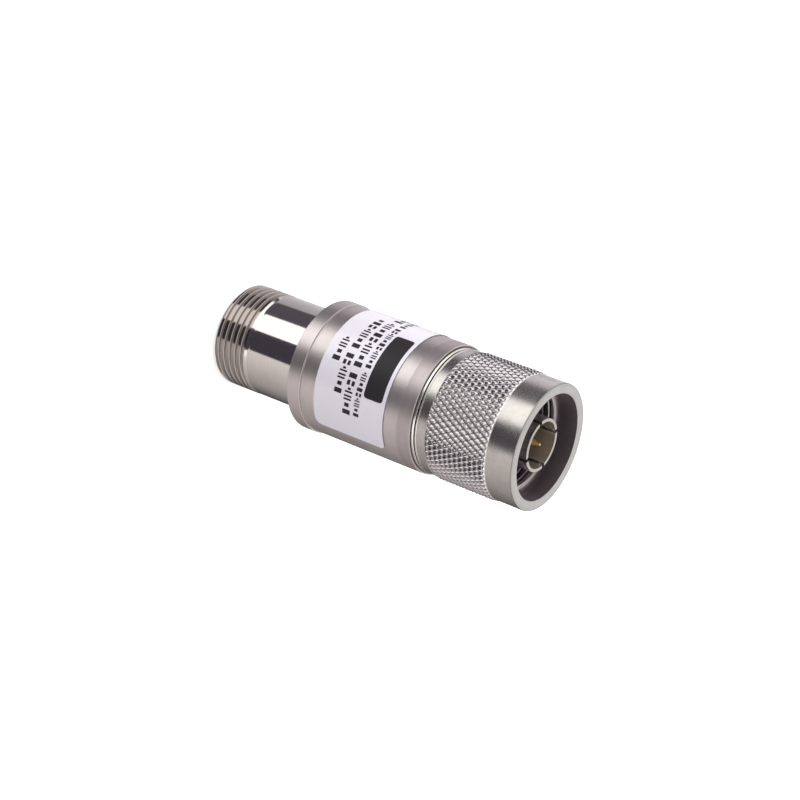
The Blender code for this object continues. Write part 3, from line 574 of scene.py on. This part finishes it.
def knurled(angle, radius, height):
    """Radius of the nut's outside with its diamond knurl.

    A groove of each hand runs between the diamonds. The rise is 0 where two grooves cross and 1
    on top of a diamond, which is a little flat.
    """
    round_turns = angle * KNURL_STARTS / (2 * math.pi)
    long_turns = (height - KNURL_BOTTOM) / (KNURL_TOP - KNURL_BOTTOM) * KNURL_TURNS
    first = np.abs(2 * ((round_turns + long_turns) % 1) - 1)
    second = np.abs(2 * ((round_turns - long_turns) % 1) - 1)
    rise = 1 - 0.5 * np.maximum(first, second) - 0.25 * (first + second)
    rise = np.clip(rise / KNURL_FLAT, 0.0, 1.0)
    knurl = KNURL_ROOT + (KNURL_CREST - KNURL_ROOT) * rise
    bevel = NUT_RADIUS + np.minimum(height - KNURL_BOTTOM, KNURL_TOP - height)
    inside_zone = (height > KNURL_BOTTOM) & (height < KNURL_TOP)
    return np.where(inside_zone, np.minimum(knurl, bevel), radius)


def rows_between(radius, start, end, count):
    """Points of an outline that climb or fall at one radius, without the two ends."""
    return [(radius, start + (end - start) * step / count) for step in range(1, count)]


# The pieces that show

def make_jack_shell(materials):
    """Barrel with its thread, relief groove and rim, and the stepped bore."""
    spigot = HOUSING_BORE - FIT_GAP
    rim_top = HOUSING_BOTTOM - SEAM_WIDTH
    thread_rows = int(THREAD_TOP / PITCH * ROWS_PER_TURN)
    lead_rows = 6
    lower = []
    for step in range(lead_rows):
        share = step / lead_rows
        lower.append((THREAD_LEAD_RADIUS + (THREAD_CREST - THREAD_LEAD_RADIUS) * share,
                      THREAD_LEAD_HEIGHT * share))
    lower.append((THREAD_CREST, THREAD_LEAD_HEIGHT))
    lower += rows_between(THREAD_CREST, THREAD_LEAD_HEIGHT, THREAD_TOP, thread_rows)
    corners = [
        (NECK_RADIUS, RIM_BOTTOM, 0.1 * MM),
        (RIM_RADIUS, RIM_BOTTOM, 0.12 * MM),
        (RIM_RADIUS, rim_top, EDGE),
        (spigot, rim_top, 0.02 * MM),
        (spigot, JACK_TOP, EDGE),
        (LINE_BORE, JACK_TOP, EDGE),
        (LINE_BORE, JACK_LIP_TOP, EDGE),
        (LINE_RADIUS, JACK_LIP_TOP, EDGE),
        (LINE_RADIUS, JACK_BORE_DEPTH, EDGE),
        (CONTACT_RADIUS, JACK_BORE_DEPTH, EDGE),
        (CONTACT_RADIUS, 0.4 * MM, EDGE),
        (CONTACT_RADIUS + 0.4 * MM, 0.0, EDGE),
        (THREAD_LEAD_RADIUS - 0.1 * MM, 0.0, EDGE),
        (THREAD_CREST, THREAD_TOP, 0.02 * MM),
        (RELIEF_RADIUS, RELIEF_BOTTOM, 0.06 * MM),
        (RELIEF_RADIUS, RELIEF_TOP, 0.06 * MM),
        (NECK_RADIUS, BARREL_BOTTOM, 0.04 * MM),
    ]
    outline = rounded(corners)
    thread_at = 13 * CORNER_POINTS
    outline = outline[:thread_at] + lower + outline[thread_at:]
    surface = Surface()
    surface.strip(outline, SHELL_POINTS, outside_thread, closed=True)
    finish_piece("jack_shell_finish", surface.mesh("jack_shell_finish"),
                 materials["bright_nickel"], "attenuator_body", "bright_nickel", "jack_shell")


def make_housing(materials):
    """The satin tube between the rim and the flange."""
    corners = [
        (HOUSING_RADIUS, HOUSING_BOTTOM - SEAM, 0.02 * MM),
        (HOUSING_RADIUS, HOUSING_TOP + SEAM, 0.02 * MM),
        (HOUSING_BORE, HOUSING_TOP + SEAM, 0.02 * MM),
        (HOUSING_BORE, HOUSING_BOTTOM - SEAM, 0.02 * MM),
    ]
    mesh = turned_mesh("housing_finish", corners, SHELL_POINTS)
    finish_piece("housing_finish", mesh, materials["satin_nickel"],
                 "attenuator_body", "satin_nickel", "housing")


def make_plug_shell(materials):
    """Spigot, flange, shoulder and the journal that the nut turns on."""
    spigot = HOUSING_BORE - FIT_GAP
    flange_bottom = HOUSING_TOP + SEAM_WIDTH
    corners = [
        (spigot, PLUG_BOTTOM, EDGE),
        (spigot, flange_bottom, 0.02 * MM),
        (HOUSING_RADIUS, flange_bottom, 0.03 * MM),
        (HOUSING_RADIUS, FLANGE_TOP, 0.08 * MM),
        (SHOULDER_RADIUS - 0.08 * MM, FLANGE_TOP, 0.02 * MM),
        (SHOULDER_RADIUS, FLANGE_TOP + 0.08 * MM, 0.03 * MM),
        (SHOULDER_RADIUS - 0.1 * MM, SHOULDER_TOP, 0.03 * MM),
        (JOURNAL_RADIUS, SHOULDER_TOP, EDGE),
        (JOURNAL_RADIUS, PLUG_TOP, 0.1 * MM),
        (LINE_BORE, PLUG_TOP, EDGE),
        (LINE_BORE, PLUG_BOTTOM, EDGE),
    ]
    mesh = turned_mesh("plug_shell_finish", corners, SHELL_POINTS)
    finish_piece("plug_shell_finish", mesh, materials["satin_nickel"],
                 "attenuator_body", "satin_nickel", "plug_shell")


def make_coupling_nut(materials):
    """Nut with a fine knurl outside and a real thread inside.

    Both outlines are open, and start and end with a sharp corner of which one point is kept.
    """
    columns = KNURL_STARTS * POINTS_PER_START
    sharp = CORNER_POINTS - 1
    face_out = NUT_RADIUS - 0.6 * MM
    face_in = NUT_MOUTH_RADIUS + 0.5 * MM
    rear_in = NUT_BORE + 0.6 * MM
    rear_out = NUT_RADIUS - 0.6 * MM
    knurl_rows = KNURL_TURNS * ROWS_PER_DIAMOND
    outside = rounded([
        (rear_out, NUT_BOTTOM, 0.0),
        (NUT_RADIUS - 0.12 * MM, NUT_BOTTOM, 0.02 * MM),
        (NUT_RADIUS - 0.02 * MM, NUT_BOTTOM + 0.08 * MM, 0.03 * MM),
        (NUT_RADIUS - 0.1 * MM, NUT_BOTTOM + 0.28 * MM, 0.02 * MM),
        (NUT_RADIUS - 0.16 * MM, NUT_BOTTOM + 0.32 * MM, 0.02 * MM),
        (NUT_RADIUS, NUT_BOTTOM + 0.43 * MM, 0.03 * MM),
        (NUT_RADIUS, KNURL_BOTTOM, 0.02 * MM),
        (NUT_RADIUS, KNURL_TOP, 0.02 * MM),
        (NUT_RADIUS, NUT_TOP, 0.16 * MM),
        (face_out, NUT_TOP, 0.0),
    ])
    knurl_at = 7 * CORNER_POINTS
    knurl = rows_between(NUT_RADIUS, KNURL_BOTTOM, KNURL_TOP, knurl_rows)
    outside = outside[sharp:knurl_at] + knurl + outside[knurl_at:-sharp]
    step_top = NUT_TOP - NUT_MOUTH_DEPTH
    step_bottom = step_top - 0.06 * MM
    land_bore = NUT_BORE + 0.2 * MM
    groove_bore = NUT_BORE + 0.7 * MM
    wall_top = NUT_BOTTOM + 2.38 * MM
    groove_top = NUT_BOTTOM + 3.47 * MM
    land_top = groove_top + 0.7 * MM
    inside = rounded([
        (face_in, NUT_TOP, 0.0),
        (NUT_MOUTH_RADIUS, NUT_TOP, 0.14 * MM),
        (NUT_MOUTH_RADIUS, step_top, 0.03 * MM),
        (NUT_THREAD_CREST, step_bottom, 0.03 * MM),
        (NUT_THREAD_CREST, NUT_THREAD_BOTTOM, 0.03 * MM),
        (NUT_MOUTH_RADIUS, NUT_THREAD_BOTTOM - 0.02 * MM, 0.01 * MM),
        (NUT_MOUTH_RADIUS, land_top, EDGE),
        (land_bore, land_top, EDGE),
        (land_bore, groove_top, EDGE),
        (groove_bore, groove_top, EDGE),
        (groove_bore, wall_top, EDGE),
        (NUT_BORE, wall_top, EDGE),
        (NUT_BORE, NUT_BOTTOM, 0.12 * MM),
        (rear_in, NUT_BOTTOM, 0.0),
    ])
    step_at = 3 * CORNER_POINTS
    thread_at = 4 * CORNER_POINTS
    thread_rows = int((step_bottom - NUT_THREAD_BOTTOM) / PITCH * ROWS_PER_TURN)
    thread = rows_between(NUT_THREAD_CREST, step_bottom, NUT_THREAD_BOTTOM, thread_rows)
    step_rows = 10
    step_points = []
    for row in range(1, step_rows):
        share = row / step_rows
        step_points.append((NUT_MOUTH_RADIUS - (NUT_MOUTH_RADIUS - NUT_THREAD_CREST) * share,
                            step_top - (step_top - step_bottom) * share))
    inside = (inside[sharp:step_at] + step_points + inside[step_at:thread_at] + thread
              + inside[thread_at:-sharp])
    surface = Surface()
    rear_ring, front_ring = surface.strip(outside, columns, knurled)
    mouth_ring, bore_ring = surface.strip(inside, BORE_POINTS, inside_thread)
    surface.bridge(front_ring, mouth_ring)
    surface.bridge(bore_ring, rear_ring)
    finish_piece("coupling_nut_finish", surface.mesh("coupling_nut_finish"),
                 materials["nut_nickel"], "nut", "nut_nickel", "coupling_nut")


def make_outer_contact(materials):
    """The plug's slotted sleeve, with a thin rounded rim."""
    corners = [
        (LINE_BORE - FIT_GAP, CONTACT_BOTTOM, 0.03 * MM),
        (LINE_BORE - FIT_GAP, PLUG_TOP, EDGE),
        (CONTACT_RADIUS, PLUG_TOP, EDGE),
        (CONTACT_RADIUS, CONTACT_TOP, 0.14 * MM),
        (LINE_RADIUS, CONTACT_TOP, 0.14 * MM),
        (LINE_RADIUS, CONTACT_BOTTOM, 0.03 * MM),
    ]
    mesh = turned_mesh("contact", corners, RING_POINTS)
    slot_width = 0.6 * MM
    slot_bottom = CONTACT_TOP - 6 * MM
    cutters = []
    for turn in (45, 135):
        cutters.append(slot_cutter(3 * CONTACT_RADIUS, slot_width, slot_bottom, CONTACT_TOP + MM,
                                   turn))
    finish_piece("plug_outer_contact_finish", cut_mesh(mesh, cutters),
                 materials["contact_nickel"], "attenuator_body", "contact_nickel",
                 "plug_outer_contact")


def make_center_pin(materials):
    """The plug's gold pin with its rounded point."""
    root_top = PIN_BOTTOM + 3.5 * MM
    chamfer = 0.1 * MM
    shoulder = CONTACT_TOP - 5.5 * MM
    outline = [(END_FLAT, PIN_BOTTOM), (CONDUCTOR_ROOT_RADIUS - chamfer, PIN_BOTTOM),
               (CONDUCTOR_ROOT_RADIUS, PIN_BOTTOM + chamfer),
               (CONDUCTOR_ROOT_RADIUS, root_top - chamfer),
               (CONDUCTOR_ROOT_RADIUS - chamfer, root_top),
               (CONDUCTOR_RADIUS, root_top), (CONDUCTOR_RADIUS, shoulder - 0.15 * MM),
               (CONDUCTOR_RADIUS - 0.15 * MM, shoulder), (PIN_RADIUS + 0.02 * MM, shoulder),
               (PIN_RADIUS, shoulder + 0.02 * MM)]
    taper_bottom = PIN_TOP - PIN_TAPER_LENGTH
    outline += rows_between(PIN_RADIUS, shoulder, taper_bottom, 4)
    taper_top = PIN_TOP - PIN_TIP_RADIUS
    taper_rows = 8
    for row in range(taper_rows):
        share = row / taper_rows
        outline.append((PIN_RADIUS - (PIN_RADIUS - PIN_TIP_RADIUS) * share ** 0.9,
                        taper_bottom + (taper_top - taper_bottom) * share))
    for angle in range(0, 86, 12):
        turn = math.radians(angle)
        outline.append((PIN_TIP_RADIUS * math.cos(turn),
                        taper_top + PIN_TIP_RADIUS * math.sin(turn)))
    finish_piece("plug_center_pin_finish", solid_of_revolution("pin", outline, SMALL_POINTS),
                 materials["contact_gold"], "attenuator_body", "contact_gold", "plug_center_pin")


def make_socket(materials):
    """The jack's slotted gold socket."""
    floor = SOCKET_BOTTOM + 5 * MM
    collet_bottom = SOCKET_TOP - 3.5 * MM
    bore = PIN_RADIUS + 0.04 * MM
    collet_bore = 1.25 * MM
    collet_floor = SOCKET_TOP - 1.8 * MM
    outline = [(END_FLAT, floor), (bore - EDGE, floor), (bore, floor - EDGE),
               (bore, SOCKET_BOTTOM + 0.25 * MM), (bore + 0.2 * MM, SOCKET_BOTTOM),
               (CONDUCTOR_RADIUS - 0.12 * MM, SOCKET_BOTTOM),
               (CONDUCTOR_RADIUS, SOCKET_BOTTOM + 0.12 * MM), (CONDUCTOR_RADIUS, collet_bottom),
               (CONDUCTOR_ROOT_RADIUS, collet_bottom), (CONDUCTOR_ROOT_RADIUS, SOCKET_TOP),
               (collet_bore, SOCKET_TOP), (collet_bore, collet_floor), (END_FLAT, collet_floor)]
    mesh = solid_of_revolution("socket", outline, SMALL_POINTS)
    slot_width = 0.25 * MM
    slot_top = SOCKET_BOTTOM + 3.2 * MM
    cutters = []
    for turn in (45, 135):
        cutters.append(slot_cutter(3 * CONDUCTOR_RADIUS, slot_width, SOCKET_BOTTOM - MM, slot_top,
                                   turn))
    finish_piece("jack_center_contact_finish", cut_mesh(mesh, cutters),
                 materials["contact_gold"], "attenuator_body", "contact_gold",
                 "jack_center_contact")


def make_beads_and_gasket(materials):
    """The two white beads and the rubber ring, with soft edges."""
    for node in ("jack_insulator", "plug_insulator"):
        bottom, top = (corner.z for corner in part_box(node))
        corners = [
            (LINE_BORE - FIT_GAP, bottom, 0.08 * MM),
            (LINE_BORE - FIT_GAP, top, 0.08 * MM),
            (CONDUCTOR_RADIUS + FIT_GAP, top, EDGE),
            (CONDUCTOR_RADIUS + FIT_GAP, bottom, EDGE),
        ]
        finish_piece(node + "_finish", turned_mesh(node, corners, SMALL_POINTS),
                     materials["insulator"], "attenuator_body", "insulator", node)
    corners = [
        (GASKET_OUTER, GASKET_BOTTOM, 0.1 * MM),
        (GASKET_OUTER, GASKET_TOP, 0.25 * MM),
        (GASKET_INNER, GASKET_TOP, 0.25 * MM),
        (GASKET_INNER, GASKET_BOTTOM, 0.1 * MM),
    ]
    finish_piece("plug_gasket_finish", turned_mesh("gasket", corners, RING_POINTS),
                 materials["seal_rubber"], "attenuator_body", "seal_rubber", "plug_gasket")


def wrapped_patch(surface, inner, outer, start, length, low, high, corner):
    """Add a thin patch bent round the axis, with round corners. Its length is in metres of arc."""
    corner = min(corner, length / 2, (high - low) / 2)
    steps = max(2, int(length / PATCH_STEP))
    bends = PATCH_CORNER_STEPS
    places = [corner * (1 - math.cos(i / bends * math.pi / 2)) for i in range(bends)]
    places += [corner + (length - 2 * corner) * i / steps for i in range(steps + 1)]
    places += [length - place for place in reversed(places[:bends])]
    middle, half = (low + high) / 2, (high - low) / 2
    columns = []
    for place in places:
        inset = max(0.0, corner - min(place, length - place))
        reach = half - corner + math.sqrt(max(0.0, corner ** 2 - inset ** 2))
        reach = max(reach, 0.001 * MM)
        turn = math.radians(start) - place / outer
        out = np.array((math.cos(turn), math.sin(turn), 0.0))
        up = np.array((0.0, 0.0, 1.0))
        points = np.array([out * outer + up * (middle - reach), out * outer + up * (middle + reach),
                           out * inner + up * (middle + reach), out * inner + up * (middle - reach)])
        columns.append(surface.add_points(points, np.array([out, out, -out, -out])))
    for first, second in zip(columns[:-1], columns[1:]):
        for side in range(4):
            after = (side + 1) % 4
            surface.faces.append((second + side, first + side, first + after, second + after))
    surface.faces.append(tuple(columns[0] + side for side in (3, 2, 1, 0)))
    surface.faces.append(tuple(columns[-1] + side for side in range(4)))


def make_label(materials):
    """The white label."""
    surface = Surface()
    length = math.radians(LABEL_WRAP) * LABEL_OUTER
    wrapped_patch(surface, LABEL_INNER, LABEL_OUTER, LABEL_START, length,
                  LABEL_BOTTOM, LABEL_TOP, LABEL_CORNER)
    finish_piece("label_finish", surface.mesh("label_finish"), materials["label_film"],
                 "attenuator_body", "label_film", "label")


def make_print(materials):
    """The label's plain marks: one bold bar and four rows of small blocks.

    A row is (top, size of a mark, start angle, number of marks in each group).
    """
    inner = LABEL_OUTER - 0.005 * MM
    outer = LABEL_OUTER + INK_THICKNESS
    surface = Surface()
    bar_low = LABEL_TOP - 3.9 * MM
    bar_high = LABEL_TOP - 0.6 * MM
    bar_start = -75.0
    bar_length = math.radians(62) * outer
    wrapped_patch(surface, inner, outer, bar_start, bar_length, bar_low, bar_high, 0.5 * MM)
    rows = [
        (LABEL_TOP - 4.3 * MM, 0.95 * MM, -56.0, (9, 11, 10)),
        (LABEL_TOP - 5.85 * MM, 1.35 * MM, -55.0, (6, 9, 5)),
        (LABEL_TOP - 7.75 * MM, 1.3 * MM, -71.0, (6, 7)),
        (LABEL_TOP - 9.75 * MM, 1.3 * MM, -96.0, (4,)),
    ]
    for high, size, start, groups in rows:
        place = 0.0
        for count in groups:
            for index in range(count):
                for shift, width, low, top in MARKS[index * 3 % len(MARKS)]:
                    angle = start - math.degrees((place + shift * size) / outer)
                    wrapped_patch(surface, inner, outer, angle, width * size,
                                  high - size * (1 - low), high - size * (1 - top), 0.06 * size)
                place += MARK_STEP * size
            place += GROUP_GAP * size
    finish_piece("label_marks", surface.mesh("label_marks"), materials["ink"],
                 "attenuator_body", "label_film")


def finish_inner_nodes(materials):
    """Give every node that is still shown the material of its slot."""
    slots = {row["node"]: row["material_slot"] for row in frame["record"]["subparts"]}
    for name, node in frame["nodes"].items():
        if not node.hide_render:
            node.data.materials.clear()
            node.data.materials.append(materials[slots[name]])


# Stage, lights and camera

def camera_rays(tree):
    """Output that is 1 for camera, glossy and transmission rays."""
    path = add_node(tree, "ShaderNodeLightPath")
    seen = maths(tree, "MAXIMUM", path.outputs["Is Camera Ray"], path.outputs["Is Glossy Ray"])
    return maths(tree, "MAXIMUM", seen, path.outputs["Is Transmission Ray"])


def make_world(diffuse_strength, mirrored_strength):
    """White for what is seen, brighter for what is mirrored, and a plain soft light."""
    world = bpy.data.worlds.new("studio")
    bpy.context.scene.world = world
    world.use_nodes = True
    tree = world.node_tree
    background = tree.nodes["Background"]
    background.inputs["Color"].default_value = (1.0, 1.0, 1.0, 1.0)
    path = add_node(tree, "ShaderNodeLightPath")
    base = spread(tree, path.outputs["Is Camera Ray"], 0.0, 1.0, diffuse_strength, 1.0)
    strength = spread(tree, path.outputs["Is Glossy Ray"], 0.0, 1.0, base, mirrored_strength)
    tree.links.new(strength, background.inputs["Strength"])


def make_floor():
    """A pale floor that looks white and keeps the part's shadow."""
    bpy.ops.mesh.primitive_plane_add(size=FLOOR_SIZE, location=(0.0, 0.0, -FLOOR_DROP))
    floor = bpy.context.active_object
    floor.name = "floor"
    material, tree, shader = new_material("floor", (0.9, 0.9, 0.9), 0.9)
    shader.inputs["Specular IOR Level"].default_value = 0.0
    glow = add_node(tree, "ShaderNodeEmission",
                    {"Color": (1.0, 1.0, 1.0, 1.0), "Strength": FLOOR_GLOW})
    added = add_node(tree, "ShaderNodeAddShader", {0: shader.outputs[0], 1: glow.outputs[0]})
    mixed = add_node(tree, "ShaderNodeMixShader", {0: camera_rays(tree), 1: shader.outputs[0],
                                                   2: added.outputs[0]})
    tree.links.new(mixed.outputs[0], tree.nodes["Material Output"].inputs["Surface"])
    floor.data.materials.append(material)


def mirrored_ray(radius, angle):
    """Where a sight line leaves an upright cylinder at an angle round it: its point and heading."""
    turn = math.radians(angle)
    out = Vector((math.cos(turn), math.sin(turn)))
    point = out * radius
    view = (CAMERA_PLACE.xy - point).normalized()
    return point, 2 * out.dot(view) * out - view


def make_card(name, start, end, first_level, last_level, wall_height, tint=(1.0, 1.0, 1.0),
              far_gain=1.0):
    """A card that only shows in reflections, laid on the floor for the part's upright sides.

    It fills what they mirror from the start angle to the end angle, and its level changes evenly
    between the two. It stands up at its far end as a low wall, and the far gain is how much
    brighter it is there than beside the part.
    """
    steps = max(2, int(abs(end - start) / 2))
    points, faces, levels = [], [], []
    for step in range(steps + 1):
        angle = start + (end - start) * step / steps
        start_point, heading = mirrored_ray(CARD_RADIUS, angle)
        near = start_point - heading * CARD_INSET
        far = start_point + heading * CARD_REACH
        points += [(*near, CARD_LIFT), (*far, CARD_LIFT), (*far, CARD_LIFT + wall_height)]
        level = first_level + (last_level - first_level) * step / steps
        levels += [level, level * far_gain, level * far_gain]
    for step in range(steps):
        a = 3 * step
        faces += [(a, a + 1, a + 4, a + 3), (a + 1, a + 2, a + 5, a + 4)]
    mesh = bpy.data.meshes.new(name)
    mesh.from_pydata(points, [], faces)
    shade = mesh.attributes.new("level", "FLOAT", "POINT")
    shade.data.foreach_set("value", levels)
    material = bpy.data.materials.new(name)
    material.use_nodes = True
    tree = material.node_tree
    tree.nodes.remove(tree.nodes["Principled BSDF"])
    level = add_node(tree, "ShaderNodeAttribute", attribute_name="level").outputs["Fac"]
    glow = add_node(tree, "ShaderNodeEmission", {"Color": (*tint, 1.0), "Strength": level})
    tree.links.new(glow.outputs[0], tree.nodes["Material Output"].inputs["Surface"])
    mesh.materials.append(material)
    card = bpy.data.objects.new(name, mesh)
    bpy.context.scene.collection.objects.link(card)
    card.visible_camera = False
    card.visible_diffuse = False
    card.visible_shadow = False
    card.visible_transmission = False


def make_cards():
    """The studio's reflections, each from one angle to another on the part's upright sides.

    The numbers are the two angles, the levels at both, and the height of the wall.
    """
    make_card("dim_far_card", 24.0, -13.0, 0.03, 0.10, 0.05, (1.0, 0.96, 0.98))
    make_card("pale_edge_card", -13.0, -30.0, 0.11, 0.36, 0.16, (1.0, 0.955, 0.95))
    make_card("pale_card", -30.0, -74.0, 0.38, 0.95, 0.06, (1.0, 0.955, 0.95))
    make_card("dark_front_card", -74.0, -97.5, 0.07, 0.07, 0.12, (0.92, 0.83, 1.1))
    make_card("white_card", -97.5, -119.2, 1.7, 1.7, 0.3)
    make_card("dark_side_card", -119.2, -141.0, 0.11, 0.12, 0.02, (1.0, 0.9, 1.12))
    make_card("grey_card", -141.0, -180.0, 0.46, 0.82, 0.05, (1.0, 0.95, 1.03), 2.2)


def add_lamp(name, place, aim, size, power):
    """A soft square lamp that isn't mirrored in the metal."""
    data = bpy.data.lights.new(name, "AREA")
    data.size = size
    data.energy = power
    lamp = bpy.data.objects.new(name, data)
    lamp.location = place
    lamp.rotation_euler = (Vector(aim) - Vector(place)).to_track_quat("-Z", "Y").to_euler()
    lamp.visible_glossy = False
    bpy.context.scene.collection.objects.link(lamp)


def make_camera():
    """The camera at the photograph's angle, rolled as the photograph is."""
    data = bpy.data.cameras.new("camera")
    data.lens = CAMERA_LENS
    data.sensor_width = CAMERA_SENSOR
    data.clip_start = 0.01
    camera = bpy.data.objects.new("camera", data)
    camera.location = CAMERA_PLACE
    camera.rotation_mode = "QUATERNION"
    facing = (CAMERA_AIM - CAMERA_PLACE).to_track_quat("-Z", "Y")
    camera.rotation_quaternion = facing @ Quaternion((0.0, 0.0, 1.0), math.radians(CAMERA_ROLL))
    bpy.context.scene.collection.objects.link(camera)
    bpy.context.scene.camera = camera


def main():
    """Build the looks, the stage and the camera."""
    bpy.context.scene.view_settings.view_transform = "Standard"
    make_camera()
    materials = make_materials()
    make_jack_shell(materials)
    make_housing(materials)
    make_plug_shell(materials)
    make_coupling_nut(materials)
    make_outer_contact(materials)
    make_center_pin(materials)
    make_socket(materials)
    make_beads_and_gasket(materials)
    make_label(materials)
    make_print(materials)
    finish_inner_nodes(materials)
    make_world(DIFFUSE_LIGHT, MIRRORED_LIGHT)
    make_floor()
    make_cards()
    add_lamp("key", KEY_PLACE, KEY_AIM, KEY_SIZE, KEY_POWER)


main()
